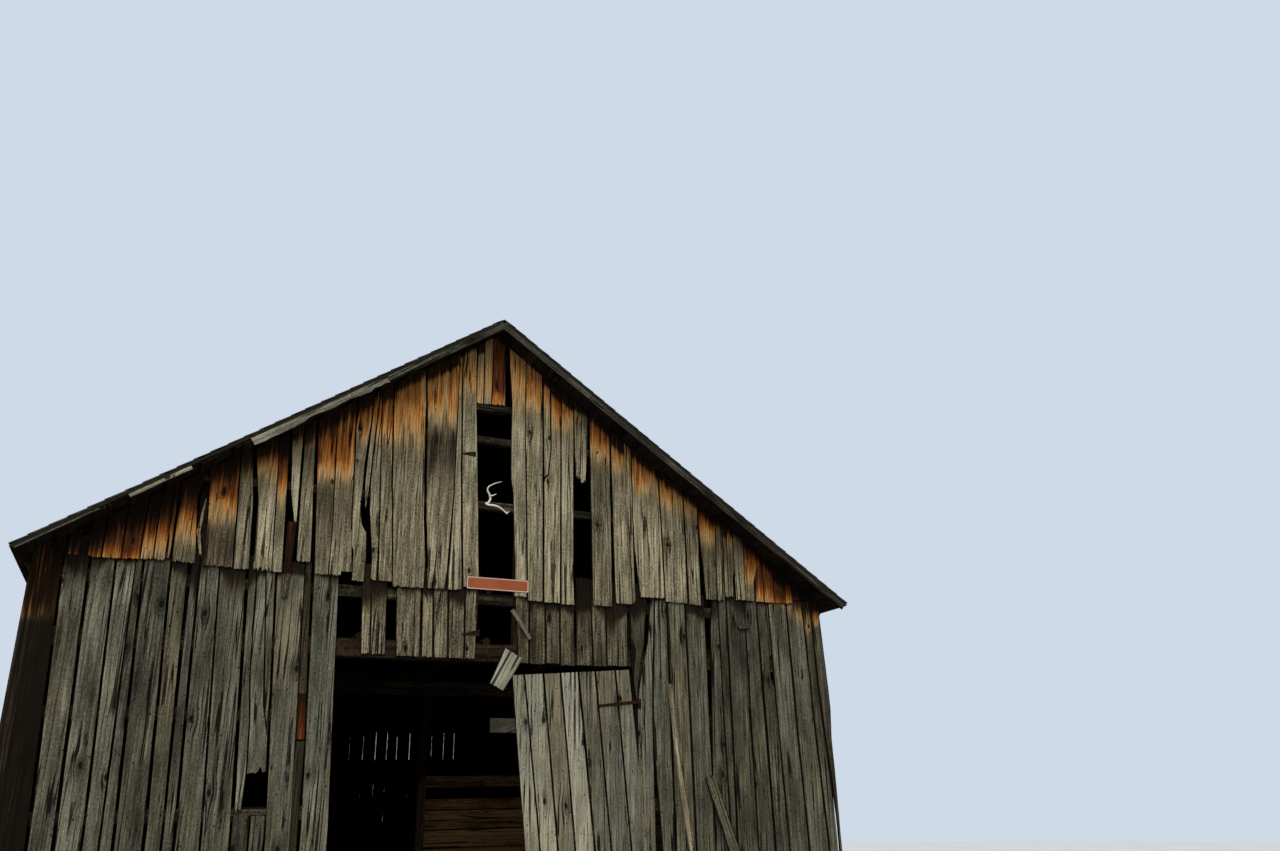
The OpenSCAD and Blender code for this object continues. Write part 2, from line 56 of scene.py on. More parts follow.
# Main sizes, taken from the frame
wall_lo, wall_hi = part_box("front_wall_left")
roof_lo, roof_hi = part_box("shingles_left")
leaf_lo, leaf_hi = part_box("door_boards")
BOARD_T = wall_hi.y - wall_lo.y
HALF_W = -wall_lo.x
HALF_L = -wall_lo.y
FRAME_Y = HALF_L - BOARD_T
FRAME_X = HALF_W - BOARD_T
FOOT_Z = wall_lo.z
LAP_TOP = wall_hi.z
LEAF_BACK = -leaf_hi.y
LEAF_T = 0.022
PITCH = math.radians(34.2)
RISE = math.tan(PITCH)
ROOF_X = -roof_lo.x
ROOF_Y = -roof_lo.y
SLOPE_L = ROOF_X / math.cos(PITCH)
SHINGLE_BUTT = 0.040
LATH_T = 0.022
SKIN_T = SHINGLE_BUTT + LATH_T
COURSES = 32
BED_DEPTH = 0.020
RIDGE_Z = roof_lo.z + SLOPE_L * math.sin(PITCH) + SHINGLE_BUTT * math.cos(PITCH)


def under(x, depth=0.0):
    """Height of the roof's outer face above a place across the barn, less a depth square to the slope."""
    return RIDGE_Z - np.abs(x) * RISE - depth / math.cos(PITCH)


# Shader building


class Value:
    """A number in a shader. Arithmetic with it adds the nodes that work it out."""

    def __init__(self, shader, socket):
        self.shader = shader
        self.socket = socket

    def __add__(self, other):
        return self.shader.math("ADD", self, other)

    def __sub__(self, other):
        return self.shader.math("SUBTRACT", self, other)

    def __mul__(self, other):
        return self.shader.math("MULTIPLY", self, other)

    def __truediv__(self, other):
        return self.shader.math("DIVIDE", self, other)

    def scaled(self, weight, base):
        return self.shader.math("MULTIPLY_ADD", self, weight, base)

    def centred(self, weight, middle=0.0):
        """Scales a noise round its own middle, 0.5, and moves that to a new middle."""
        return self.scaled(weight, middle - 0.5 * weight)


class Shader:
    """Node tree of one material, with short calls for the nodes used here."""

    def __init__(self, name, roughness=0.9, specular=0.25):
        self.mat = bpy.data.materials.new(name)
        self.mat.use_nodes = True
        self.tree = self.mat.node_tree
        self.surface = self.tree.nodes["Principled BSDF"]
        self.surface.inputs["Roughness"].default_value = roughness
        self.surface.inputs["Specular IOR Level"].default_value = specular

    def put(self, socket, value):
        """Sets a socket to a plain value, or links it to the socket that the value comes from."""
        source = value.socket if isinstance(value, Value) else value
        if isinstance(source, bpy.types.NodeSocket):
            self.tree.links.new(source, socket)
        else:
            socket.default_value = source

    def add(self, kind, inputs=None, **settings):
        """Adds a node with its settings, and with its inputs given by number or by name."""
        node = self.tree.nodes.new(f"ShaderNode{kind}")
        for name, value in settings.items():
            setattr(node, name, value)
        for key, value in (inputs or {}).items():
            self.put(node.inputs[key], value)
        return node

    def attribute(self, name):
        return self.add("Attribute", attribute_name=name).outputs["Vector"]

    def object_place(self):
        return self.add("TexCoord").outputs["Object"]

    def split(self, vector):
        return [Value(self, part) for part in self.add("SeparateXYZ", {0: vector}).outputs]

    def combine(self, x, y, z):
        return self.add("CombineXYZ", {0: x, 1: y, 2: z}).outputs[0]

    def vector(self, operation, a, b=(0, 0, 0)):
        node = self.add("VectorMath", {0: a, 1: b}, operation=operation)
        return node.outputs["Value" if operation in ("DOT_PRODUCT", "LENGTH") else "Vector"]

    def math(self, operation, a, b=0.5, c=0.5, clamp=False):
        node = self.add("Math", {0: a, 1: b, 2: c}, operation=operation, use_clamp=clamp)
        return Value(self, node.outputs[0])

    def smooth(self, value, low, high, to_low=0.0, to_high=1.0):
        node = self.add("MapRange", {"Value": value, "From Min": low, "From Max": high, "To Min": to_low,
                                     "To Max": to_high}, interpolation_type="SMOOTHSTEP")
        return Value(self, node.outputs["Result"])

    def noise(self, vector, scale=1.0, detail=2.0, roughness=0.5):
        inputs = {"Vector": vector, "Scale": scale, "Detail": detail, "Roughness": roughness}
        return Value(self, self.add("TexNoise", inputs).outputs["Fac"])

    def voronoi(self, vector):
        return self.add("TexVoronoi", {"Vector": vector, "Scale": 1.0}).outputs

    def ramp(self, value, stops):
        node = self.add("ValToRGB", {0: value})
        elements = node.color_ramp.elements
        while len(elements) < len(stops):
            elements.new(0.5)
        for element, (place, colour) in zip(elements, stops):
            element.position = place
            element.color = (*colour, 1)
        return node.outputs[0]

    def mix(self, factor, a, b, blend="MIX"):
        return self.add("Mix", {0: factor, 6: a, 7: b}, data_type="RGBA", blend_type=blend).outputs[2]

    def finish(self, colour, height=None, depth=0.0015, strength=0.8):
        self.put(self.surface.inputs["Base Color"], colour)
        if height is not None:
            bump = self.add("Bump", {"Strength": strength, "Distance": depth, "Height": height})
            self.put(self.surface.inputs["Normal"], bump.outputs[0])
        return self.mat


GREYS = [
    (0.00, (0.006, 0.006, 0.004)), (0.25, (0.018, 0.017, 0.012)), (0.42, (0.052, 0.051, 0.037)),
    (0.56, (0.107, 0.104, 0.075)), (0.74, (0.224, 0.216, 0.157)), (1.00, (0.500, 0.475, 0.355)),
]
DUN_GREYS = [
    (0.00, (0.007, 0.006, 0.004)), (0.25, (0.022, 0.019, 0.011)), (0.42, (0.060, 0.053, 0.032)),
    (0.56, (0.118, 0.105, 0.064)), (0.74, (0.240, 0.215, 0.134)), (1.00, (0.520, 0.465, 0.310)),
]
WARM_GREYS = [
    (0.00, (0.007, 0.006, 0.004)), (0.25, (0.023, 0.019, 0.011)), (0.42, (0.065, 0.056, 0.034)),
    (0.56, (0.134, 0.115, 0.070)), (0.74, (0.270, 0.232, 0.144)), (1.00, (0.560, 0.485, 0.320)),
]
TANS = [
    (0.00, (0.010, 0.008, 0.005)), (0.30, (0.044, 0.034, 0.020)), (0.50, (0.135, 0.108, 0.065)),
    (0.75, (0.290, 0.236, 0.148)), (1.00, (0.520, 0.440, 0.300)),
]
BROWNS = [
    (0.00, (0.006, 0.004, 0.002)), (0.30, (0.018, 0.011, 0.006)), (0.55, (0.046, 0.029, 0.016)),
    (0.80, (0.105, 0.070, 0.040)), (1.00, (0.190, 0.135, 0.085)),
]
RED_BROWNS = [
    (0.00, (0.004, 0.002, 0.001)), (0.35, (0.014, 0.008, 0.003)), (0.60, (0.048, 0.026, 0.010)),
    (0.80, (0.110, 0.062, 0.024)), (1.00, (0.210, 0.125, 0.050)),
]
STAINS = [
    (0.00, (0.115, 0.095, 0.060)), (0.12, (0.180, 0.136, 0.074)), (0.26, (0.520, 0.345, 0.155)),
    (0.40, (0.590, 0.275, 0.072)), (0.54, (0.380, 0.125, 0.026)), (0.72, (0.125, 0.036, 0.010)),
    (1.00, (0.016, 0.007, 0.004)),
]


def wood(name, grain, tone, greys=GREYS, stain=None, soot=None, knots=0.22, coarse=1.0, contrast=1.0):
    """Weathered wood. grain gives a shader's across, seed and along coordinates, and tone its lightness."""
    s = Shader(name, roughness=0.94, specular=0.08)
    across, seed, along = s.split(grain(s))

    def spots(wide, high, squeeze, pick):
        """Cells over the wood: the way across and the distance to a cell's middle, and which are chosen."""
        cells = s.voronoi(s.combine(across * wide, seed, along * high))
        middle = s.split(cells["Position"])
        off_across = across - middle[0] / wide
        off_along = (along - middle[2] / high) * squeeze
        reach = s.vector("LENGTH", s.combine(off_across, 0.0, off_along))
        return off_across, reach, s.math("LESS_THAN", s.split(cells["Color"])[pick], knots)

    # Knots, round which the fibres part, and the small dark holes of nails and dead knots
    off_across, reach, chosen = spots(5.5, 1.5, 0.55, 0)
    ring = s.smooth(reach, 0.085, 0.004) * chosen
    knot = s.smooth(reach, 0.019, 0.008) * chosen
    waver = (s.noise(s.combine(across * 4.0, seed, along * 1.1)) - 0.5) * 0.022
    fibre_at = across + off_across * (ring * -0.75) + waver
    _, reach, chosen = spots(11.0, 4.5, 0.75, 1)
    pit = s.smooth(reach, 0.0075, 0.0035) * chosen

    def stretched(a, l, detail, rough):
        return s.noise(s.combine(fibre_at * (a * coarse), seed, along * l), detail=detail, roughness=rough)

    fibre = stretched(150.0, 3.0, 4.0, 0.75)
    streak = stretched(44.0, 1.3, 4.0, 0.65)
    check = stretched(20.0, 0.50, 1.5, 0.45)
    blotch = stretched(5.0, 1.7, 5.0, 0.62)
    speck = stretched(90.0, 50.0, 2.0, 0.6)
    rings = s.math("SINE", fibre_at * 230.0 + blotch * 26.0)
    crack = s.smooth(s.math("ABSOLUTE", check - 0.5), 0.034, 0.010) * s.smooth(blotch, 0.45, 0.56)
    level = tone(s)
    for part, weight in ((fibre, contrast), (streak, 0.90 * contrast), (blotch, 0.5 + 0.5 * contrast),
                         (speck, 0.70 * contrast)):
        level = level + part.centred(weight)
    level = level + rings * 0.022
    for part, weight in ((crack, 0.55), (knot, 0.42), (ring, 0.15), (pit, 0.50)):
        level = level - part * weight
    colour = s.ramp(level, greys)
    if greys not in (BROWNS, RED_BROWNS):
        hue = s.noise(s.combine(across * 2.0, seed * 1.7, along * 0.6))
        colour = s.mix(s.smooth(hue, 0.40, 0.72), colour, s.ramp(level, DUN_GREYS))
    if stain is not None:
        given = stain(s)
        amount = given + (streak.centred(1.10) + blotch.centred(0.60)) * s.smooth(given, 0.0, 0.40)
        shade = s.smooth(fibre, 0.25, 0.75, 0.30, 1.30) + speck.centred(0.8) + rings * 0.10
        tint = s.mix(1.0, s.ramp(amount, STAINS), s.combine(shade, shade, shade), "MULTIPLY")
        holes = s.math("MAXIMUM", pit, s.math("MAXIMUM", crack, knot))
        tint = s.mix(holes, tint, (0.010, 0.006, 0.004, 1))
        colour = s.mix(s.smooth(amount, 0.02, 0.28), colour, tint)
    # Painted shade under the eaves and laps, in the seams and on board backs, with real dark smudges and
    # knots: mixed towards brown-black.
    if soot is not None:
        given = soot(s)
        dark = s.math("ADD", given, streak.centred(1.8) * s.smooth(given, 0.0, 0.3), clamp=True)
        shade_and_soot_colour = s.ramp(dark, [(0.12, (0.085, 0.042, 0.019)), (0.65, (0.008, 0.005, 0.003))])
        colour = s.mix(s.smooth(dark, 0.05, 0.85, 0.0, 0.95), colour, shade_and_soot_colour)
    return s.finish(colour, fibre * 0.55 + streak * 0.45 - crack * 1.1 + rings * 0.06)


def from_board(s):
    return s.attribute("grain")


def look_part(index):
    """Reads one entry of a board's look attribute: its tone, its stain, or its painted shade with dark
    smudges.
    """
    return lambda s: s.split(s.attribute("look"))[index]


def from_axis(direction):
    """Grain along a direction of the barn, for the frame's own timbers."""
    along = Vector(direction).normalized()
    side = along.orthogonal().normalized()

    def read(s):
        place = s.object_place()
        return s.combine(*(s.vector("DOT_PRODUCT", place, way) for way in (side, along.cross(side), along)))
    return read


def even(level):
    return lambda s: s.noise(s.object_place(), scale=1.7).centred(0.35, level)


def shingle_wood():
    s = Shader("split_shingle", roughness=0.95, specular=0.12)
    across, seed, along = s.split(from_board(s))
    tone, moss, dark = s.split(s.attribute("look"))
    fibre = s.noise(s.combine(across * 150.0, seed, along * 6.0), detail=4.0, roughness=0.7)
    streak = s.noise(s.combine(across * 40.0, seed, along * 2.0))
    colour = s.ramp(tone + fibre.centred(0.6) + streak.centred(0.4), [
        (0.0, (0.012, 0.010, 0.008)), (0.35, (0.045, 0.038, 0.030)), (0.6, (0.105, 0.092, 0.074)),
        (1.0, (0.260, 0.235, 0.195)),
    ])
    spots = s.noise(s.object_place(), scale=34.0, detail=4.0, roughness=0.65)
    green = s.smooth(moss * 0.5 + spots, 0.62, 0.78)
    lichen = s.ramp(fibre, [(0.2, (0.058, 0.058, 0.030)), (0.8, (0.170, 0.165, 0.095))])
    colour = s.mix(green, colour, lichen)
    # Darker shingles at random, and painted shade on the shingles' undersides.
    colour = s.mix(dark * 0.8, colour, (0.012, 0.010, 0.008, 1))
    return s.finish(colour, fibre * 0.7 + green * 0.4, 0.0016)


def rust():
    s = Shader("rusty_iron", roughness=0.88, specular=0.12)
    place = s.object_place()
    patches = s.noise(place, scale=38.0, detail=5.0, roughness=0.65)
    pits = s.noise(place, scale=260.0, detail=3.0, roughness=0.6)
    colour = s.ramp(pits.scaled(0.4, patches.scaled(0.8, -0.1)), [
        (0.15, (0.005, 0.004, 0.003)), (0.42, (0.013, 0.006, 0.004)), (0.62, (0.038, 0.013, 0.007)),
        (0.85, (0.100, 0.038, 0.015)),
    ])
    return s.finish(colour, patches + pits, 0.0010, 1.0)


def fieldstone():
    s = Shader("fieldstone", roughness=0.93, specular=0.2)
    place = s.object_place()
    layers = s.noise(s.vector("MULTIPLY", place, (6.0, 6.0, 30.0)), detail=5.0, roughness=0.6)
    grit = s.noise(place, scale=170.0, detail=3.0, roughness=0.7)
    lichen = s.noise(place, scale=22.0, detail=4.0, roughness=0.55)
    colour = s.ramp(grit.scaled(0.4, layers.scaled(0.8, -0.1)), [
        (0.2, (0.050, 0.047, 0.043)), (0.5, (0.130, 0.122, 0.108)), (0.85, (0.280, 0.265, 0.235)),
    ])
    colour = s.mix(s.smooth(lichen, 0.60, 0.68, 0.0, 0.7), colour, (0.235, 0.245, 0.175, 1))
    return s.finish(colour, layers + grit * 0.4, 0.006, 1.0)


def bone():
    s = Shader("antler", roughness=0.55, specular=0.35)
    fine = s.noise(s.vector("MULTIPLY", s.object_place(), (120.0, 120.0, 60.0)), detail=4.0, roughness=0.6)
    colour = s.ramp(fine, [(0.25, (0.58, 0.53, 0.44)), (0.5, (0.86, 0.82, 0.74)), (0.8, (0.94, 0.92, 0.87))])
    return s.finish(colour, fine, 0.0012)


def plate_paint(name, base, worn):
    s = Shader(name, roughness=0.6, specular=0.2)
    place = s.object_place()
    chips = s.noise(place, scale=55.0, detail=5.0, roughness=0.7)
    fade = s.noise(place, scale=6.0, detail=3.0)
    colour = s.mix(s.smooth(fade, 0.3, 0.7, 0.0, 0.5), (*base, 1), (*worn, 1))
    colour = s.mix(s.smooth(chips, 0.63, 0.68), colour, (0.060, 0.030, 0.018, 1))
    return s.finish(colour, chips, 0.0005)


def pale_ground():
    s = Shader("pale_floor", roughness=0.9)
    cloud = s.noise(s.object_place(), scale=0.7, detail=4.0)
    seen = s.ramp(cloud, [(0.3, (0.66, 0.68, 0.70)), (0.7, (0.72, 0.735, 0.75))])
    lit = s.add("LightPath").outputs["Is Camera Ray"]
    return s.finish(s.mix(lit, (0.24, 0.235, 0.22, 1), seen))


def board_wood(name, greys, stained=True, **looks):
    """Wood of boards that carry their own grain, tone, stain, and painted shade with dark smudges."""
    stain = look_part(1) if stained else None
    return wood(name, from_board, look_part(0), greys, stain, look_part(2), **looks)


ALONG = {
    "x": (1, 0, 0), "y": (0, 1, 0), "z": (0, 0, 1),
    "slope_left": (math.cos(PITCH), 0, math.sin(PITCH)),
    "slope_right": (-math.cos(PITCH), 0, math.sin(PITCH)),
    "brace": (0.7071, 0.35, 0.7071),
}
# The frame's timbers and girts are dark: old wood, and painted shade of the dark inside of the barn.
TIMBER = {key: wood(f"timber_{key}", from_axis(way), even(0.40), BROWNS, knots=0.2, coarse=0.7)
          for key, way in ALONG.items()}
SAWN = {key: wood(f"sawn_{key}", from_axis(ALONG[key]), even(0.22), WARM_GREYS, knots=0.15, coarse=0.8)
        for key in ("x", "y", "z")}
LEDGE = wood("door_ledge", from_axis((1, 0, 0.35)), even(0.42), knots=0.0, coarse=0.5, contrast=0.30)
# Laths darkest: old wood, and painted shade under the eaves.
LATH = wood("lath", from_axis(ALONG["y"]), even(0.26), BROWNS, knots=0.3, coarse=0.8)
POLE = wood("pole", from_board, look_part(0), TANS, knots=0.6, coarse=0.8, contrast=1.3)
BROWN_POLE = wood("brown_pole", from_board, look_part(0), BROWNS, knots=0.6)
WEATHERED = board_wood("weathered_board", GREYS, knots=0.30, contrast=0.66)
STAINED = board_wood("stained_board", WARM_GREYS)
LEAF_WOOD = board_wood("leaf_board", GREYS, knots=0.34, contrast=0.6)
WALL_WOOD = board_wood("wall_board", GREYS, contrast=0.55)
OLD_BROWN = board_wood("brown_board", BROWNS, stained=False)
STALL_WOOD = board_wood("stall_board", RED_BROWNS, stained=False)
SHINGLE = shingle_wood()
RUST = rust()
STONE = fieldstone()
BONE = bone()

# Meshes of many boards


def line(*points, scale=MM):
    """A board edge: its place across as a function of the height, both given in millimetres."""
    heights, places = ([p[k] * scale for p in sorted(points)] for k in (0, 1))
    if len(points) > 1 and heights[-1] > heights[0]:
        low = (places[1] - places[0]) / (heights[1] - heights[0])
        high = (places[-1] - places[-2]) / (heights[-1] - heights[-2])
        heights = [heights[0] - RUN_ON] + heights + [heights[-1] + RUN_ON]
        places = [places[0] - RUN_ON * low] + places + [places[-1] + RUN_ON * high]
    return lambda l: np.interp(l, heights, places)


def flat(value):
    """The same value at every place."""
    return lambda place, *_: value + 0 * place


def ripple(x, y, z):
    """Smooth noise at one place or at many."""
    places = np.broadcast(x, y, z)
    return np.array([noise.noise(Vector(place)) for place in places]).reshape(places.shape)


def smoothstep(low, high, value):
    t = np.clip((value - low) / (high - low), 0, 1)
    return t * t * (3 - 2 * t)


def store_vectors(mesh, name, vectors):
    attribute = mesh.attributes.new(name, "FLOAT_VECTOR", "POINT")
    attribute.data.foreach_set("vector", np.asarray(vectors, np.float32).ravel())


class Pile:
    """Closed boards gathered into one mesh, each with its grain and its look as point attributes."""

    def __init__(self, name, place):
        self.name = name
        self.place = place
        self.points, self.faces, self.grain, self.look = [], [], [], []
        self.count = 0
        self.seed = sum(ord(c) for c in name) % 97

    def solid(self, front, back, grain, look, back_shade=0.9):
        """Adds a slab from two grids of points of the same shape, its back darkened with painted shade."""
        rows, columns = front.shape[:2]
        # Painted shade on the back of each slab, for the dark inside of the barn.
        behind = look.copy()
        behind[..., 2] = np.maximum(behind[..., 2], back_shade)
        sheets = ((self.points, (front, back)), (self.grain, (grain, grain)), (self.look, (look, behind)))
        for kept, both in sheets:
            kept.append(np.concatenate([part.reshape(-1, 3) for part in both]))
        size = rows * columns
        index = self.count + np.arange(size).reshape(rows, columns)
        self.count += 2 * size
        a, b, c, d = index[:-1, :-1], index[:-1, 1:], index[1:, 1:], index[1:, :-1]
        quads = np.stack([a, b, c, d], -1).reshape(-1, 4)
        loop = np.concatenate([index[0, :], index[1:, -1], index[-1, -2::-1], index[-2:0:-1, 0]])
        after = np.roll(loop, -1)
        self.faces += [quads, quads[:, ::-1] + size, np.stack([after, loop, loop + size, after + size], -1)]

    def board(self, left, right, foot=FOOT_Z, head=LAP_TOP, thick=BOARD_T, out=0.0, tone=0.5, stain=None,
              soot=None, ragged=0.010, top_ragged=0.002, warp=0.004, row=0.09, column=0.012, inset=INSET,
              groove=0.003, rim=0.0, vary=0.06, slip=0.07, back_shade=0.9, wave=1.0):
        """Adds one board between two edges, with a worn outline. stain and the painted shade with dark smudges
        are functions of a, l.

        ragged and top_ragged are the depths of its torn ends, and warp how far it bends out. row and column
        are the steps of its mesh. inset is the room beside it, groove the depth of its worn edges and rim
        their width; these edges are darkened with painted shade of the seam. vary and slip are how far its
        tone and its stain stray, back_shade is the painted shade on its back, and wave the waviness of its
        edges.
        """
        self.seed += 1
        seed = self.seed * 1.618
        foot, head = (end if callable(end) else flat(end) for end in (foot, head))
        middle = 0.5 * (float(foot(np.zeros(1))[0]) + float(head(np.zeros(1))[0]))
        width = float(right(middle) - left(middle))
        sides = [0.0, rim / width] if rim else [0.0]
        dark = len(sides)
        edge = min(0.003 + 0.4 * groove + rim, width * 0.2) / max(width, 0.01)
        inner = np.linspace(edge, 1 - edge, max(2, round(width / column)))
        u = np.concatenate([sides, inner, [1 - part for part in reversed(sides)]])
        torn = ripple(u * width * 38 + seed, seed, 0) * 0.7 + 0.5 * ripple(u * width * 110, seed, 5)
        low = self.end(left, right, u, foot) + np.abs(torn) * ragged * 2.2 - ragged * 0.3
        high = self.end(left, right, u, head) - np.abs(np.roll(torn, 3)) * top_ragged * 2.0
        rows = max(2, round(float(np.mean(high - low)) / row))
        l = low + np.linspace(0, 1, rows + 1)[:, None] * (high - low)
        a = left(l) + u * (right(l) - left(l)) + inset * (1 - 2 * u)
        length = l[:, 0]
        for side, columns in ((0, slice(0, dark + 1)), (9, slice(-dark - 1, None))):
            wobble = (ripple(side + seed, length * 9, 1) * 0.0016
                      + ripple(side + seed, length * 1.7, 2) * 0.0022)
            a[:, columns] += (wave * wobble)[:, None]
        bow = (0.5 + 0.5 * ripple(seed, length * 0.9, 3)) * warp
        twist = ripple(seed, length * 0.7, 7) * warp * 0.6
        cup = noise.noise(Vector((seed, 4, 4))) * warp * 0.8
        turn = 2 * u - 1
        back = np.maximum(out + bow[:, None] + twist[:, None] * turn + cup * turn ** 2, out)
        front = back + thick
        look = np.zeros((*a.shape, 3))
        look[..., 0] = tone + rand.uniform(-vary, vary)
        slip = rand.uniform(-slip, slip)
        for part, given in ((1, stain), (2, soot)):
            if given is not None:
                look[..., part] = given(a, l + slip)
        # The edge columns of the front are sunk by groove and darkened with painted shade of the seam beside
        # them.
        for worn in (slice(0, dark), slice(-dark, None)):
            front[:, worn] -= groove
            look[:, worn, 2] = np.maximum(look[:, worn, 2], 0.95)
        front[0, :] -= 0.002
        # Painted highlight with wear: the columns just inside each edge are lighter.
        look[:, (dark, -dark - 1), 0] += EDGE_WEAR_AND_HIGHLIGHT
        flow = np.stack([a, np.full_like(a, seed * 3.7 % 61), l + seed % 5], -1)
        self.solid(self.world(a, front, l), self.world(a, back, l), flow, look, back_shade)

    @staticmethod
    def end(left, right, u, limit):
        """Where each column of a board meets a limit that depends on the place across."""
        l = limit(left(0.0) + u * 0.0)
        for _ in range(4):
            l = limit(left(l) + u * (right(l) - left(l)))
        return l

    def world(self, a, out, l):
        return np.stack(np.broadcast_arrays(*self.place(a, out, l)), -1)

    def build(self, material, body="barn", replaced=()):
        mesh = bpy.data.meshes.new(self.name)
        mesh.from_pydata(np.concatenate(self.points).tolist(), [], np.concatenate(self.faces).tolist())
        store_vectors(mesh, "grain", np.concatenate(self.grain))
        store_vectors(mesh, "look", np.concatenate(self.look))
        finish_piece(mesh, material, body, replaced)


def finish_piece(mesh, material, body, replaced=(), angle=38):
    """Makes an object of a mesh, with outward normals, and gives it to a body of the frame."""
    shape = bmesh.new()
    shape.from_mesh(mesh)
    bmesh.ops.recalc_face_normals(shape, faces=shape.faces)
    shape.to_mesh(mesh)
    shape.free()
    mesh.shade_smooth()
    mesh.set_sharp_from_angle(angle=math.radians(angle))
    mesh.materials.append(material)
    piece = bpy.data.objects.new(mesh.name, mesh)
    bpy.context.scene.collection.objects.link(piece)
    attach(piece, body)
    if replaced:
        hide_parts(*replaced)


def on_front(back):
    """Places boards on the front: across, outwards from a plane, and up."""
    return lambda a, out, l: (a, -back - out, l)


def on_back(back):
    return lambda a, out, l: (a, back + out, l)


def on_side(side):
    return lambda a, out, l: (side * (FRAME_X + out), a, l)


def on_slope(side, y, way):
    """Places boards along a roof edge: depth under the face, outwards from plane y, down the slope."""
    c, s = math.cos(PITCH), math.sin(PITCH)
    return lambda a, out, l: (side * (l * c - a * s), y + way * out, RIDGE_Z - l * s - a * c)


def on_roof(side):
    """Places shingles: along the barn, depth under the roof's face, and down the slope."""
    c, s = math.cos(PITCH), math.sin(PITCH)
    return lambda a, depth, l: (side * np.maximum(l * c - depth * s, 0.0), a,
                                np.minimum(RIDGE_Z - l * s - depth * c, roof_hi.z - 0.0005))


# Lower boards of the front

DOORWAY = (-1.320, 1.530)  # from the left boards to the right ones, with no nails between
WIDEN = 1.15  # how much wider seams are than they read in the photograph
LAP_FEET = [
    (-3650, 3540), (-2450, 3525), (-1300, 3510), (-1210, 3482), (-950, 3490), (-860, 3455), (220, 3470),
    (250, 3420), (900, 3392), (1000, 3396), (1500, 3432), (1550, 3500), (2200, 3470), (2270, 3530),
    (3600, 3570),
]
feet_x, feet_z = (np.array(column) * MM for column in zip(*LAP_FEET))


def lap_shadow(feet):
    """Shadow and dark brown patches just below the feet of the upper boards, longer on some boards."""
    def soot(a, l):
        below = feet(a) - l
        reach = 0.08 + 0.36 * (0.5 + 0.5 * np.sin(a * 17.0)) * (0.5 + 0.5 * np.sin(a * 5.3 + 1.0))
        return np.maximum(0.85 * smoothstep(reach, 0.0, below), 0.97 * smoothstep(0.045, 0.005, below))
    return soot


def warm_lap(a, l):
    """Warm stain that runs down from the lap near the right corner."""
    reach = 0.16 + 0.30 * (0.5 + 0.5 * np.sin(a * 11.0 + 2.0))
    return np.interp(a, [2.8, 3.1, 3.4, 3.7], [0.0, 0.16, 0.34, 0.66]) * smoothstep(3.52 - reach, 3.54, l)


LOWER = dict(soot=lap_shadow(lambda a: np.interp(a, feet_x, feet_z)), stain=warm_lap, row=0.045)
RIMMED = dict(LOWER, rim=0.0035, groove=0.006)


def lean(high, low, gap_high, gap_low):
    """A seam between lower boards, from its places at 3.4 m and at 1.5 m and its widths there."""
    drift = (low - high) * 0.35
    return [(195, low + drift, gap_low), (1500, low, gap_low), (3400, high, gap_high),
            (3640, high - (low - high) * 0.126, gap_high)]


def seam_edges(seam):
    """Right edge of the board before a seam and left edge of the board after it."""
    return [line(*[(z, x + way * (gap * WIDEN / 2 + 1)) for z, x, gap in seam]) for way in (-1, 1)]


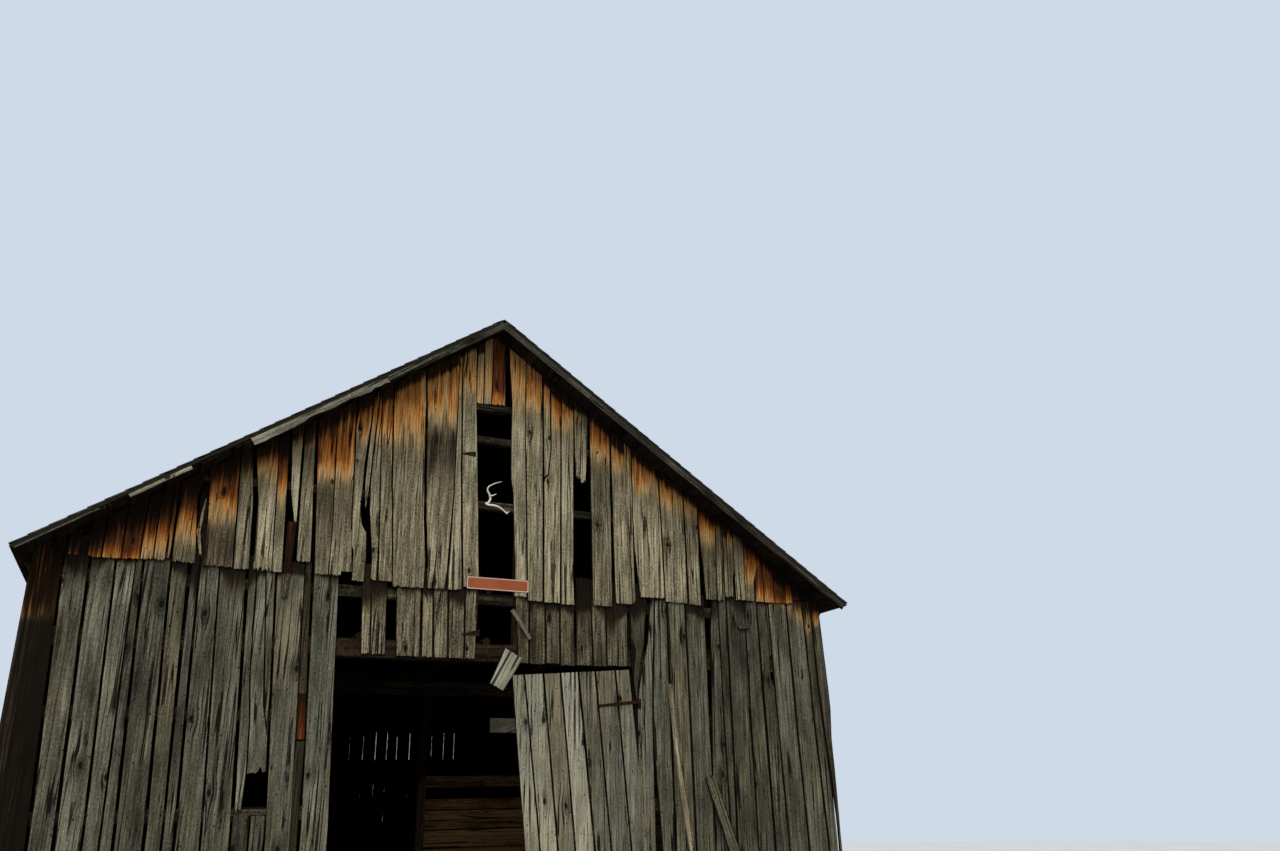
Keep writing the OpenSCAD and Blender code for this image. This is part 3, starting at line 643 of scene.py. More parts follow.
def lower_front_left():
    pile = Pile("front_boards_left", on_front(FRAME_Y))
    seams = [[(195, -3650, 0), (3640, -3650, 0)]] + [lean(*s) for s in (
        (-3427, -3343, 10, 18), (-3241, -3174, 12, 16), (-3058, -2990, 8, 10), (-2914, -2875, 1, 8),
        (-2857, -2785, 12, 14), (-2654, -2580, 8, 16), (-2515, -2458, 22, 10), (-2439, -2374, 12, 14),
        (-2283, -2188, 6, 8), (-2065, -1974, 16, 18),
    )]
    edges = [seam_edges(seam) for seam in seams]
    # The corner board: stained at the top, and darkened all over with painted shade, as the corner stands in
    # shade.
    corner = dict(stain=lambda a, l: 0.82 * smoothstep(2.95, 3.25, l),
                  soot=lambda a, l: 0.62 + 0.25 * smoothstep(-3.60, -3.50, a))
    pile.board(edges[0][1], edges[1][0], tone=0.34, ragged=0.02, **corner)
    for k, tone in enumerate((0.48, 0.55, 0.56, 0.50, 0.47, 0.58, 0.49, 0.60, 0.57), 1):
        pile.board(edges[k][1], edges[k + 1][0], tone=tone, ragged=0.02, **LOWER)
    # The broken board and the hole beside its ragged end
    sliver = line((1615, -1918), (1919, -1908), (2300, -1926), (2640, -1962), (3640, -2000))
    crack = line((2150, -1768), (2410, -1831), (3420, -1916), (3640, -1937))
    before, after = seam_edges(lean(-1835, -1732, 10, 12))
    pile.board(edges[-1][1], lambda z: sliver(z) - 0.002, foot=1.615, ragged=0.045, tone=0.52, **LOWER)
    pile.board(lambda z: sliver(z) + 0.002, lambda z: np.minimum(crack(z) - 0.003, before(z)),
               foot=1.905, ragged=0.050, tone=0.54, **LOWER)
    pile.board(lambda z: np.minimum(crack(z) + 0.003, before(z) - 0.006), before,
               foot=2.16, ragged=0.02, tone=0.50, **LOWER)
    pile.board(line((195, -1942), (1600, -1974)), line((195, -1832), (1600, -1850)),
               head=1.598, top_ragged=0.03, tone=0.42)
    pile.board(line((195, -1822), (1600, -1840)), line((195, -1700), (1600, -1735)),
               head=1.590, top_ragged=0.02, tone=0.44)
    right = line(*[(z, x) for z, x, _ in lean(-1607, -1536, 0, 0)])
    pile.board(after, lambda z: right(z) - 0.001, head=3.607, tone=0.58, ragged=0.02, **LOWER)
    # The thin brown strip, red where it is broken, and the board beside the doorway
    strip = (line((2162, -1566), (2280, -1566), (3400, -1603)),
             line((2162, -1488), (2280, -1492), (3400, -1548)))
    pile.board(*strip, foot=2.162, head=2.520, thick=0.012, tone=0.30, ragged=0.015,
               stain=lambda a, l: np.interp(l, [2.20, 2.50], [0.72, 1.00]))
    pile.board(*strip, foot=2.520, head=3.620, thick=0.012, tone=0.34, soot=flat(0.30))
    pile.board(line((195, -1548), (2100, -1556)), line((195, -1462), (2100, -1484)), head=2.148,
               thick=0.012, tone=0.32, top_ragged=0.01,
               soot=lambda a, l: 0.25 + 0.3 * smoothstep(1.6, 1.2, l))
    after = seam_edges([(195, -1440, 8), (1500, -1464, 8), (3400, -1536, 10), (3640, -1545, 10)])[1]
    pile.board(after, line((195, -1238), (1500, -1251), (3400, -1322), (3640, -1331)),
               tone=0.61, ragged=0.02, **LOWER)
    pile.build(WEATHERED, replaced=["front_wall_left"])


def lower_front_right():
    pile = Pile("front_boards_right", on_front(FRAME_Y))
    split = [(2480, 1497), (2679, 1511), (2945, 1549), (3040, 1583), (3230, 1596), (3458, 1621),
             (3640, 1640)]
    split_gaps = (18, 32, 38, 38, 38, 38)
    pile.board(line((2480, 1495), (2640, 1470), (2850, 1448), (3480, 1430), (3640, 1430)),
               line(*split), foot=2.485, tone=0.44, warp=0.002, **RIMMED)
    split_side = [(z, x + gap) for (z, x), gap in zip(split[1:], split_gaps)]
    pile.board(line((195, 1495), (2480, 1498), *split_side),
               line((195, 1664), (1250, 1655), (2300, 1650), (2660, 1659), (3000, 1672), (3500, 1701),
                    (3640, 1705)),
               tone=0.60, warp=0.002, soot=LOWER["soot"], stain=flat(0.07))
    # Left edge, right edge, lightness and the top of the one board that ends lower
    edges = [
        ([(195, 1762), (1250, 1722), (2100, 1660), (2300, 1656), (3500, 1708)], [(195, 1874), (1300, 1852),
         (3400, 1833)], 0.52),
        ([(195, 1884), (1300, 1862), (3400, 1843)], [(195, 2082), (1300, 2064), (3400, 2035)], 0.50),
        ([(195, 2090), (1300, 2072), (3400, 2044)], [(195, 2266), (1840, 2268), (3400, 2258), (3530, 2260)],
         0.51, 3.57),
        ([(195, 2278), (1840, 2272), (2600, 2300), (3230, 2318), (3400, 2338), (3530, 2347)], [(195, 2454),
         (1300, 2442), (2400, 2420), (3400, 2412)], 0.48),
        ([(195, 2458), (1300, 2446), (2400, 2423), (3400, 2415)], [(195, 2500), (1300, 2503), (3400, 2510)],
         0.46),
        ([(195, 2516), (1300, 2515), (3400, 2516)], [(195, 2738), (1300, 2731), (3400, 2721)], 0.49),
        ([(195, 2742), (1300, 2734), (3400, 2725)], [(195, 2921), (1300, 2911), (2300, 2890), (2800, 2876),
         (3400, 2866)], 0.53),
        ([(195, 2934), (1300, 2924), (2300, 2905), (2800, 2891), (3400, 2873)], [(195, 3095), (1300, 3075),
         (2300, 3037), (2720, 3020), (2736, 2990), (2860, 2982), (2983, 2992), (3000, 3014), (3400, 3006)],
         0.53),
        ([(195, 3099), (1300, 3080), (2300, 3042), (2730, 3028), (2983, 3022), (3400, 3010)], [(195, 3313),
         (1300, 3292), (2300, 3254), (3400, 3225)], 0.52),
        ([(195, 3322), (1300, 3303), (2300, 3265), (3400, 3236)], [(195, 3540), (1300, 3521), (2300, 3468),
         (3400, 3427)], 0.50),
        ([(195, 3549), (1300, 3529), (2300, 3476), (3400, 3434)], [(195, 3655), (1400, 3633), (1800, 3610),
         (2280, 3571), (2660, 3548), (3400, 3525)], 0.47),
        ([(195, 3662), (1400, 3652), (1800, 3630), (2280, 3586), (2660, 3553), (3400, 3530)], [(195, 3705),
         (1000, 3686), (1800, 3677), (2185, 3667), (2470, 3682), (2660, 3677), (3400, 3640)], 0.41),
    ]
    for left, right, tone, *top in edges:
        pile.board(line(*left), line(*right), head=top[0] if top else LAP_TOP, tone=tone, ragged=0.02,
                   **RIMMED)
    pile.build(WEATHERED, replaced=["front_wall_right"])


def over_door():
    pile = Pile("over_door_boards", on_front(FRAME_Y))

    def hung(z, a, b, shift_a, shift_b, **own):
        """A board from the place a to b at the height z, whose edges are shifted at 3.5 m."""
        pile.board(line((z, a), (3500, a + shift_a)), line((z, b), (3500, b + shift_b)), **own, **RIMMED)

    for a, b, tone in ((-1094, -1018, 0.63), (-1014, -885, 0.65)):
        hung(2864, a, b, -30, -22, foot=2.864, ragged=0.016, tone=tone)
    for a, b, ragged, shift_a, shift_b in (
            (-796, -583, 10, -30, -22), (-573, -470, 14, -22, -30), (-466, -338, 12, -28, -22),
            (-334, -190, 10, -22, -18), (-187, -90, 10, -16, 20)):
        hung(2856, a, b, shift_a, shift_b, foot=2.856, ragged=ragged * MM, tone=0.60)
    for a, b, shift_a, shift_b, foot, head in (
            (315, 414, -52, -5, 2.835, LAP_TOP), (419, 578, -5, -15, 2.830, LAP_TOP),
            (583, 718, -16, -12, 2.840, LAP_TOP), (724, 868, -13, -16, 2.826, LAP_TOP),
            (880, 1049, -2, -28, 2.834, 3.655), (1054, 1186, -28, -8, 2.830, LAP_TOP),
            (1190, 1406, -8, 6, 2.838, LAP_TOP)):
        hung(2830, a, b, shift_a, shift_b, foot=foot, head=head, ragged=0.012, tone=0.47)
    pile.build(STAINED, replaced=["front_wall_over_door"])


# Upper boards of the front

# Place across, and the heights where the stain starts and is full
STAIN_LINE = [(-3650, 3440, 3550), (-2600, 3660, 3900), (-2100, 4200, 4400), (-1500, 4350, 4650),
              (-800, 4650, 4900), (-100, 5000, 5250), (300, 5000, 5300), (900, 4850, 5100),
              (1450, 4500, 4750), (2060, 4250, 4450), (2600, 3900, 4200), (2850, 3480, 3600),
              (3500, 3440, 3550)]
stain_x, grey_z, orange_z = (np.array(column) * MM for column in zip(*STAIN_LINE))
# Place across, height, half width and half height
BIG_KNOTS = [(-2.329, 4.143, 0.026, 0.062), (-2.383, 4.094, 0.012, 0.034), (-2.962, 3.700, 0.018, 0.030)]


def fading(grey=None, orange=None, depth=0.48):
    """Stain that starts at the height grey and is full at the height orange, deepest under the eaves."""
    def stain(a, l):
        low = np.interp(a, stain_x, grey_z) if grey is None else grey * MM - 0.42
        high = np.interp(a, stain_x, orange_z) if orange is None else orange * MM + 0.10
        room = under(a, SKIN_T) - l
        more = np.interp(np.abs(a), [0.3, 1.2, 2.2], [0.04, 0.16, 0.30])
        return np.clip((l - low) / (high - low), 0, 1) ** 2.2 * (depth + more * smoothstep(0.90, 0.20, room))
    return stain


def eaves_soot(grey=None, smudge=0.0):
    """Painted shade, black, under the eaves; black on the big knots, and a dark smudge just below the stained
    part.
    """
    def soot(a, l):
        room = under(a, SKIN_T) - l
        reach = np.interp(a, [-3.2, -2.0, -1.0, -0.2, 0.2, 1.0, 3.2],
                          [0.44, 0.38, 0.18, 0.10, 0.09, 0.12, 0.22])
        dark = 0.97 * smoothstep(reach, 0.03, room)
        for x, z, wide, high in BIG_KNOTS:
            off = np.hypot((a - x) / wide, (l - z) / high)
            dark = np.maximum(dark, 0.95 * smoothstep(1.05, 0.55, off))
        if smudge:
            place = l - grey * MM
            below, above = smoothstep(-0.80, -0.16, place), smoothstep(0.22, -0.08, place)
            dark = np.maximum(dark, smudge * below * above)
        return dark
    return soot


def gable_head(a):
    return under(a, SKIN_T) - HAIR


# Left edge, right edge, height and raggedness of the foot, lightness, heights where the stain starts and is
# full, its depth, and the darkness of the smudge below it
GABLE_LEFT = [
    ([(3560, -3505)], [(3560, -3434)], 3560, 13, 0.39, 3360, 3460, 0.66, 0.00),
    ([(3540, -3410)], [(3540, -3332)], 3540, 13, 0.45, 3360, 3460, 0.68, 0.00),
    ([(3532, -3267)], [(3532, -3170)], 3532, 13, 0.53, 3440, 3530, 0.50, 0.00),
    ([(3532, -3166)], [(3532, -3028)], 3532, 13, 0.55, 3440, 3520, 0.46, 0.00),
    ([(3532, -3025)], [(3532, -2895)], 3534, 13, 0.55, 3450, 3520, 0.48, 0.00),
    ([(3542, -2891)], [(3542, -2800)], 3542, 19, 0.58, 3510, 3770, 0.48, 0.25),
    ([(3542, -2797)], [(3542, -2709)], 3542, 19, 0.58, 3560, 3790, 0.48, 0.30),
    ([(3542, -2706)], [(3542, -2675)], 3560, 17, 0.58, 3580, 3790, 0.52, 0.30),
    ([(3540, -2660), (4365, -2660)], [(3540, -2480), (4100, -2530), (4365, -2475)], 3540, 31, 0.58, 3660,
     3920, 0.52, 0.35),
    ([(3523, -2422), (3900, -2428), (4365, -2460)], [(3523, -2194), (4480, -2232)], 3523, 17, 0.61, 3820,
     4030, 0.38, 0.45),
    ([(3514, -2185), (4480, -2226)], [(3514, -2063), (4100, -2090), (4535, -2137)], 3514, 13, 0.69, 4390,
     4510, 0.42, 0.10),
    ([(3523, -2033), (4100, -2050), (4640, -2127)], [(3523, -1884), (4640, -1930)], 3523, 55, 0.71, 4250,
     4420, 0.36, 0.00),
    ([(3510, -1881), (4640, -1927)], [(3510, -1799), (4640, -1844)], 3510, 13, 0.69, 4080, 4260, 0.42,
     0.25),
    ([(3966, -1745), (4200, -1790), (4840, -1838)], [(3966, -1722), (4840, -1738)], 3960, 45, 0.89, 4390,
     4800, 0.26, 0.00),
    ([(3614, -1694), (4860, -1727)], [(3614, -1576), (4860, -1634)], 3614, 13, 0.67, 4740, 4820, 0.40,
     0.50),
    ([(3516, -1535), (4840, -1616)], [(3516, -1422), (3890, -1420), (4840, -1450)], 3516, 13, 0.67, 4310,
     4460, 0.38, 0.50),
    ([(3516, -1416), (3890, -1418), (4840, -1448)], [(3516, -1316), (3930, -1259), (5100, -1298)], 3516, 13,
     0.67, 4330, 4470, 0.38, 0.35),
    ([(3557, -1310), (3930, -1257), (3960, -1256)], [(3557, -1254), (3960, -1254)], 3557, 15, 0.65, 4790,
     4900, 0.30, 0.00),
    ([(3478, -1221), (3740, -1224), (3780, -1246), (5100, -1290)], [(3478, -1118), (3690, -1112),
     (3925, -1122), (3965, -1166), (4120, -1190), (4536, -1184), (4970, -1154)], 3478, 13, 0.69, 4720, 4940,
     0.42, 0.20),
    ([(4140, -1152), (4380, -1168), (4970, -1148)], [(4140, -1144), (4380, -1126), (4970, -1104)], 4140, 35,
     0.75, 4740, 4940, 0.40, 0.00),
    ([(3496, -1058), (3690, -1062), (3980, -1094), (4110, -1110), (4380, -1120), (4970, -1098)],
     [(3496, -1010), (3880, -1014), (4970, -1060)], 3496, 13, 0.65, 4740, 4940, 0.40, 0.15),
    ([(3494, -994), (3880, -1008), (4970, -1058)], [(3494, -872), (4300, -921), (4365, -931), (5300, -971)],
     3494, 13, 0.65, 4760, 4920, 0.40, 0.20),
    ([(3452, -864), (4300, -913), (4365, -923), (5300, -964)], [(3452, -590), (3700, -586), (4100, -619),
     (4700, -645), (5200, -657), (5480, -676)], 3452, 11, 0.68, 4540, 4900, 0.34, 0.12),
    ([(3456, -564), (3700, -566), (4100, -600), (4700, -626), (5200, -643), (5480, -663)], [(3456, -393),
     (3680, -384), (4420, -353), (5480, -352)], 3456, 27, 0.65, 4980, 5190, 0.38, 0.62),
    ([(3456, -372), (3680, -370), (4420, -350), (5480, -350)], [(3456, -240), (4600, -296), (5260, -315)],
     3456, 17, 0.71, 5060, 5320, 0.29, 0.15),
    ([(3490, -230), (4600, -285), (5260, -306)], [(3490, -84), (4100, -110), (4700, -140), (5300, -170),
     (5680, -182)], 3490, 10, 0.73, 5120, 5350, 0.27, 0.00),
]
GABLE_MIDDLE = [
    ([(5290, -172), (5900, -176)], [(5290, -101), (5900, -108)], 5290, 11, 0.79, 5150, 5290, 0.24, 0.00),
    ([(5290, -98), (5900, -105)], [(5300, -21), (5900, -20)], 5294, 13, 0.75, 5150, 5290, 0.27, 0.00),
    ([(5300, -17), (5900, -17)], [(5300, 120), (5920, 112)], 5300, 15, 0.37, 5100, 5300, 0.60, 0.30),
    ([(3434, 253), (3640, 260), (4000, 240), (4420, 224), (4540, 200), (4900, 190), (5350, 190),
     (5900, 146)], [(3434, 374), (4000, 360), (4600, 344), (4980, 331), (5900, 322)], 3434, 13, 0.77, 5000,
     5260, 0.32, 0.00),
    ([(3400, 386), (4000, 371), (4600, 354), (4980, 334), (5900, 325)], [(3400, 533), (4600, 519),
     (5600, 500)], 3400, 10, 0.79, 5060, 5320, 0.35, 0.10),
    ([(4610, 532), (5600, 512)], [(4610, 530), (4640, 572), (4900, 596), (5420, 586), (5600, 582)], 4612,
     25, 0.77, 5150, 5400, 0.33, 0.00),
    ([(3396, 546), (4570, 532), (4600, 540), (4640, 580), (4900, 603), (5420, 593), (5600, 588)],
     [(3396, 705), (5500, 700)], 3396, 11, 0.75, 5140, 5310, 0.45, 0.25),
    ([(3387, 719), (5500, 706)], [(3387, 852), (3700, 838), (5400, 836)], 3387, 11, 0.76, 5130, 5290, 0.42,
     0.30),
]
GABLE_RIGHT = [
    ([(4640, 868), (4900, 850), (5400, 842)], [(4640, 904), (5400, 926)], 4650, 45, 0.73, 5290, 5410, 0.38,
     0.20),
    ([(4610, 908), (5400, 929)], [(4610, 968), (4900, 984), (5400, 990)], 4606, 45, 0.73, 5290, 5410, 0.38,
     0.20),
    ([(3395, 1042), (4900, 1018)], [(3395, 1238), (4900, 1232)], 3395, 13, 0.65, 4780, 4960, 0.36, 0.30),
    ([(3428, 1280), (3700, 1270), (4900, 1246)], [(3428, 1452), (3690, 1449), (4300, 1420), (4360, 1422)],
     3428, 19, 0.63, 4740, 4920, 0.30, 0.10),
    ([(3428, 1456), (3690, 1453), (4300, 1424)], [(3440, 1490), (3690, 1478), (4900, 1464)], 3440, 35, 0.65,
     4730, 4900, 0.30, 0.10),
    ([(3523, 1540), (3956, 1489), (4260, 1477), (4945, 1470)], [(3494, 1803), (3975, 1793), (4735, 1765)],
     3506, 17, 0.71, 4480, 4680, 0.29, 0.00),
    ([(3488, 1812), (3975, 1802), (4735, 1773)], [(3475, 2056), (4600, 2044)], 3475, 11, 0.65, 4400, 4580,
     0.34, 0.05),
    ([(3475, 2075), (4070, 2068), (4600, 2051)], [(3462, 2208), (4500, 2205)], 3462, 11, 0.63, 4360, 4510,
     0.42, 0.35),
    ([(3528, 2272), (3785, 2253), (4110, 2230), (4410, 2211)], [(3528, 2392), (4335, 2408)], 3528, 11, 0.63,
     4100, 4270, 0.38, 0.30),
    ([(3519, 2401), (4300, 2412)], [(3519, 2485), (4300, 2490)], 3519, 27, 0.63, 4280, 4420, 0.58, 0.35),
    ([(3550, 2489), (4300, 2494)], [(3550, 2533), (4300, 2537)], 3560, 27, 0.61, 4270, 4390, 0.58, 0.30),
    ([(3576, 2537), (4300, 2541)], [(3576, 2588), (3780, 2592), (3860, 2613), (4300, 2613)], 3576, 27, 0.61,
     4070, 4220, 0.45, 0.30),
    ([(3542, 2618)], [(3542, 2731)], 3542, 13, 0.61, 4190, 4310, 0.60, 0.30),
    ([(3542, 2734)], [(3542, 2832), (3740, 2834), (3780, 2846)], 3542, 13, 0.57, 3720, 3870, 0.48, 0.20),
    ([(3538, 2852)], [(3538, 2950)], 3538, 13, 0.55, 3480, 3580, 0.44, 0.00),
    ([(3538, 2954)], [(3538, 3073)], 3538, 13, 0.55, 3480, 3580, 0.46, 0.00),
    ([(3538, 3077)], [(3538, 3212)], 3540, 13, 0.55, 3480, 3580, 0.48, 0.00),
    ([(3538, 3216)], [(3538, 3296)], 3542, 13, 0.53, 3480, 3580, 0.50, 0.00),
    ([(3582, 3300)], [(3582, 3400)], 3582, 13, 0.51, 3460, 3560, 0.54, 0.00),
    ([(3582, 3403)], [(3582, 3502)], 3584, 13, 0.49, 3460, 3560, 0.58, 0.00),
]


def gable_front(name, boards):
    pile = Pile(f"upper_boards_{name}", on_front(HALF_L))
    for left, right, foot, ragged, tone, grey, orange, depth, smudge in boards:
        pile.board(line(*left), line(*right), foot=foot * MM, head=gable_head, ragged=ragged * MM, tone=tone,
                   stain=fading(grey, orange, depth), soot=eaves_soot(grey, smudge), warp=0.0045, row=0.035,
                   column=0.010)
    pile.build(STAINED, replaced=[f"gable_boards_{name}"])


def gable_scraps():
    """The curled splinter left of the big knot and the dark strip in front of the lower boards."""
    pile = Pile("gable_splinters", on_front(HALF_L))
    pile.board(line((3615, -2462), (3800, -2505), (4100, -2468)),
               line((3615, -2441), (3800, -2470), (4100, -2455)), foot=3.615, head=4.090, out=0.006,
               ragged=0.03, top_ragged=0.03, tone=0.66, thick=0.014, column=0.01)
    strip = line((3290, -1786), (3966, -1795)), line((3290, -1734), (3966, -1715))
    pile.board(*strip, foot=3.300, head=3.500, thick=0.020, ragged=0.035, tone=0.44,
               soot=lambda a, l: 0.45 * smoothstep(3.42, 3.50, l))
    pile.board(*strip, foot=3.500, head=3.955, thick=0.018, tone=0.34, stain=flat(0.96))
    pile.build(STAINED)


# The leaf


def leaf():
    pile = Pile("leaf_boards", on_front(LEAF_BACK))
    drop = math.tan(math.radians(4.2))
    lean_low = math.tan(math.radians(5.5)) * (leaf_hi.z - leaf_lo.z)
    # Left edge at the top and 1.5 m lower, lightness and warmth of each board, and the gap before the next
    rows = [(249, 401, 0.77, 0.08, 10), (367, 542, 0.79, 0.06, 12), (552, 705, 0.71, 0.10, 11),
            (718, 865, 0.87, 0.05, 16), (899, 1051, 0.59, 0.03, 12), (1066, 1207, 0.63, 0.05, 12),
            (1270, 1403, 0.66, 0.04, 0)]
    ends = [(a - row[4], b - row[4]) for (a, b, *_), row in zip(rows[1:], rows)] + [(1408, 1555)]

    def head(a):
        return leaf_hi.z - (1.412 - a) * drop

    def foot(a):
        return leaf_lo.z + np.maximum(a - 0.255 - lean_low + 0.03, 0) * drop

    for (top, low, tone, warm, _), (end_top, end_low) in zip(rows, ends):
        left = line((2750, top), (1250, low), (150, low + (low - top) * 0.66))
        right = line((2750, end_top), (1250, end_low), (150, end_low + (end_low - end_top) * 0.62))
        pile.board(left, right, foot=foot, head=head, tone=tone, warp=0.002, ragged=0.012, top_ragged=0.004,
                   stain=lambda a, l, w=warm: 0.02 + w * smoothstep(1.5, 2.7, l), thick=LEAF_T,
                   vary=0.02, back_shade=0.3)
    pile.build(LEAF_WOOD, body="door_leaf", replaced=["door_boards"])


# Plain walls


def plain_seams(start, end, step, gap, wide=None):
    """Places of the seams of a plain wall and their gaps, from a random run of board widths."""
    parts = [rand.uniform(0.78, 1.22) for _ in range(round((end - start) / step))]
    total = sum(parts)
    place = start
    seams = [(start, 0.0)]
    for part in parts[:-1]:
        place += (end - start) * part / total
        seams.append((place, wide(place) if wide else rand.uniform(*gap)))
    return seams + [(end, 0.0)]


def slotted(place, gap, sway):
    """Edge of a board beside a seam; a wide seam is open in two stretches, the lower one broken."""
    closed = math.copysign(0.0008, gap)
    if abs(gap) < 0.0025:
        return lambda l: place + gap + sway * 0.07 * l
    low, high = 1.30 + rand.uniform(-0.2, 0.5), rand.uniform(2.72, 2.86)
    start = rand.uniform(0, 60)

    def edge(l):
        broken = ripple(start, l * 14.0, 0)
        upper = smoothstep(2.34, 2.40, l) * smoothstep(high + 0.08, high, l) * np.clip(0.8 + broken, 0.3, 1)
        partly = np.clip(0.24 + 1.1 * broken, 0.0, 0.55)
        lower = smoothstep(low - 0.10, low, l) * smoothstep(2.12, 2.05, l) * partly
        return place + closed + (gap - closed) * np.maximum(upper, lower) + sway * 0.07 * l
    return edge


def plain_wall(name, place, start, end, head, foot, node, tone=0.46, gap=(0.001, 0.003), wide=None,
               slot="weathered_board", row=0.32, **looks):
    pile = Pile(name, place)
    seams = plain_seams(start, end, 0.195, gap, wide)
    for (a, gap_a), (b, gap_b) in zip(seams[:-1], seams[1:]):
        sway = rand.uniform(-0.006, 0.006)
        left, right = slotted(a, gap_a / 2, sway), slotted(b, -gap_b / 2, sway)
        pile.board(left, right, foot=foot + rand.uniform(0, 0.02), head=head, ragged=0.015, tone=tone,
                   warp=0.003, row=row, column=0.045, inset=-0.0008, groove=0.010, rim=0.006, vary=0.13,
                   wave=0.2, **looks)
    pile.build(WALL_WOOD, replaced=[node])


def back_gap(place):
    """Wider gaps between the back boards on the right, where daylight shows through."""
    return rand.uniform(0.007, 0.011) if 0.35 < place < 2.35 else rand.uniform(0.0004, 0.0015)


def patchy_fade(a, l):
    """Stain of the back gable, of uneven depth from board to board."""
    return fading()(a, l) * (0.52 + 0.26 * np.sin(a * 8.3) + 0.22 * np.sin(a * 3.1 + 2.0))


def plain_walls():
    eave = under(HALF_W, SKIN_T + 0.12) - 0.004
    gable_half = HALF_W - 0.145
    for name, side in (("left", -1), ("right", 1)):
        plain_wall(f"side_boards_{name}", on_side(side), -FRAME_Y, FRAME_Y, eave, FOOT_Z, f"{name}_wall",
                   soot=lambda a, l: 0.5 * smoothstep(3.1, 3.4, l))
    plain_wall("back_boards", on_back(FRAME_Y), -HALF_W, HALF_W,
               lambda a: np.minimum(LAP_TOP, gable_head(a)), FOOT_Z, "back_wall", wide=back_gap,
               soot=lap_shadow(flat(3.545)), row=0.05)
    plain_wall("back_gable_boards", on_back(HALF_L), -gable_half, gable_half, gable_head,
               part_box("back_gable")[0].z, "back_gable", tone=0.54, gap=(0.0002, 0.0015), slip=0.25, row=0.08,
               stain=patchy_fade, soot=eaves_soot(), slot="stained_board")


# Roof


def shingles(side):
    name = "left" if side < 0 else "right"
    pile = Pile(f"split_shingles_{name}", on_roof(side))
    course = SLOPE_L / COURSES
    end = ROOF_Y - 0.004
    head_depth = 0.005
    across = np.array([[0.0, 0.5, 1.0]])
    u = across.T
    for k in range(COURSES):
        y = -end
        while y < ROOF_Y - 0.03:
            width = min(rand.uniform(0.085, 0.175), end - y)
            if end - (y + width) < 0.05:
                width = end - y
            gap = rand.uniform(0.001, 0.006)
            slip = rand.uniform(-0.010, 0.004) if k < COURSES - 1 else rand.uniform(-0.012, 0.0)
            head = max(k * course - 0.035, 0.0)
            butt = (k + 1) * course + slip
            tilt = rand.uniform(-0.006, 0.006)
            lift = rand.uniform(0.0, 0.003)
            a = y + across * (width - gap) + 0 * u
            s = head + u * (butt - head) + (across - 0.5) * tilt * u
            s = np.minimum(s + np.array([rand.uniform(-0.004, 0.0) for _ in range(3)]) * u, SLOPE_L - 0.001)
            fall = head_depth * (1 - (s - k * course) / course) + lift * (1 - u)
            curl = np.array([0.0, rand.uniform(-0.002, 0.003), 0.0]) * u
            top = np.clip(fall + curl + 0.001, 0.0010, None)
            low = np.minimum(top + rand.uniform(0.008, 0.013), 0.034)
            grain = np.stack([a, np.full_like(a, (y * 7.7 + k) % 53), s], -1)
            wet = 0.22 * smoothstep(SLOPE_L - 1.4, SLOPE_L, s) if side < 0 else 0 * a
            patch = noise.noise(Vector((y * 0.55, k * 0.09, side * 7.0)))
            odd = rand.choice((-0.13, 0.12)) if rand.random() < 0.10 else 0.0
            shade = 0.47 + 0.14 * patch + rand.uniform(-0.055, 0.055) + odd
            moss, dark = rand.uniform(0, 0.25), rand.uniform(0, 0.35)
            look = np.stack([np.full_like(a, shade), wet + moss, np.full_like(a, dark)], -1)
            pile.solid(pile.world(a, top, s), pile.world(a, low, s), grain, look, back_shade=0.5)
            y += width
    # Closed bed under the shingles, in strips along the barn
    strips = 8
    for k in range(strips):
        a, s = np.meshgrid(np.linspace(-ROOF_Y + 0.01, ROOF_Y - 0.01, 30),
                           [max(SLOPE_L * k / strips, 0.030), SLOPE_L * (k + 1) / strips - 0.001])
        grain = np.stack([s, np.full_like(a, k * 3.1), a], -1)
        look = np.stack([np.full_like(a, 0.3), 0 * a, np.full_like(a, 0.6)], -1)
        pile.solid(pile.world(a, BED_DEPTH, s), pile.world(a, SHINGLE_BUTT - HAIR, s), grain, look)
    pile.build(SHINGLE, replaced=[f"shingles_{name}"])


# Upper and lower end down the slope, depth, raggedness of the lower edge and lightness
RAKES_LEFT = [(0.0, 1.345, 0.062, 0.004, 0.36), (1.352, 2.670, 0.078, 0.030, 0.62),
              (3.190, 3.700, 0.038, 0.012, 0.78), (3.930, 4.555, 0.023, 0.005, 0.42)]
RAKES_RIGHT = [(0.0, 0.845, 0.063, 0.004, 0.34), (0.850, 1.140, 0.063, 0.004, 0.46),
               (1.145, 4.555, 0.063, 0.005, 0.30)]


def rake_boards():
    """Boards along the sloping edges, torn and partly missing on the left of the front."""
    for side, key in ((-1, "left"), (1, "right")):
        for end, way in (("front", 1), ("back", -1)):
            pile = Pile(f"rake_{end}_{key}", on_slope(side, -way * (ROOF_Y - BOARD_T), -way))
            boards = RAKES_LEFT if (end, key) == ("front", "left") else RAKES_RIGHT
            for upper, lower, depth, ragged, tone in boards:
                def torn(l, amount=ragged, base=SHINGLE_BUTT + depth):
                    ripples = ripple(l * 3.1, side, way) + 0.4 * ripple(l * 17.0, side, way)
                    return base - amount * np.abs(ripples) * 1.5

                pile.board(flat(SHINGLE_BUTT + HAIR), torn, foot=upper, head=lower, thick=BOARD_T - 0.005,
                           tone=tone, warp=0.002, ragged=0.004, row=0.05, column=0.02)
            pile.build(WEATHERED, replaced=[f"rake_boards_{key}"] if end == "front" else [])


# Round pieces


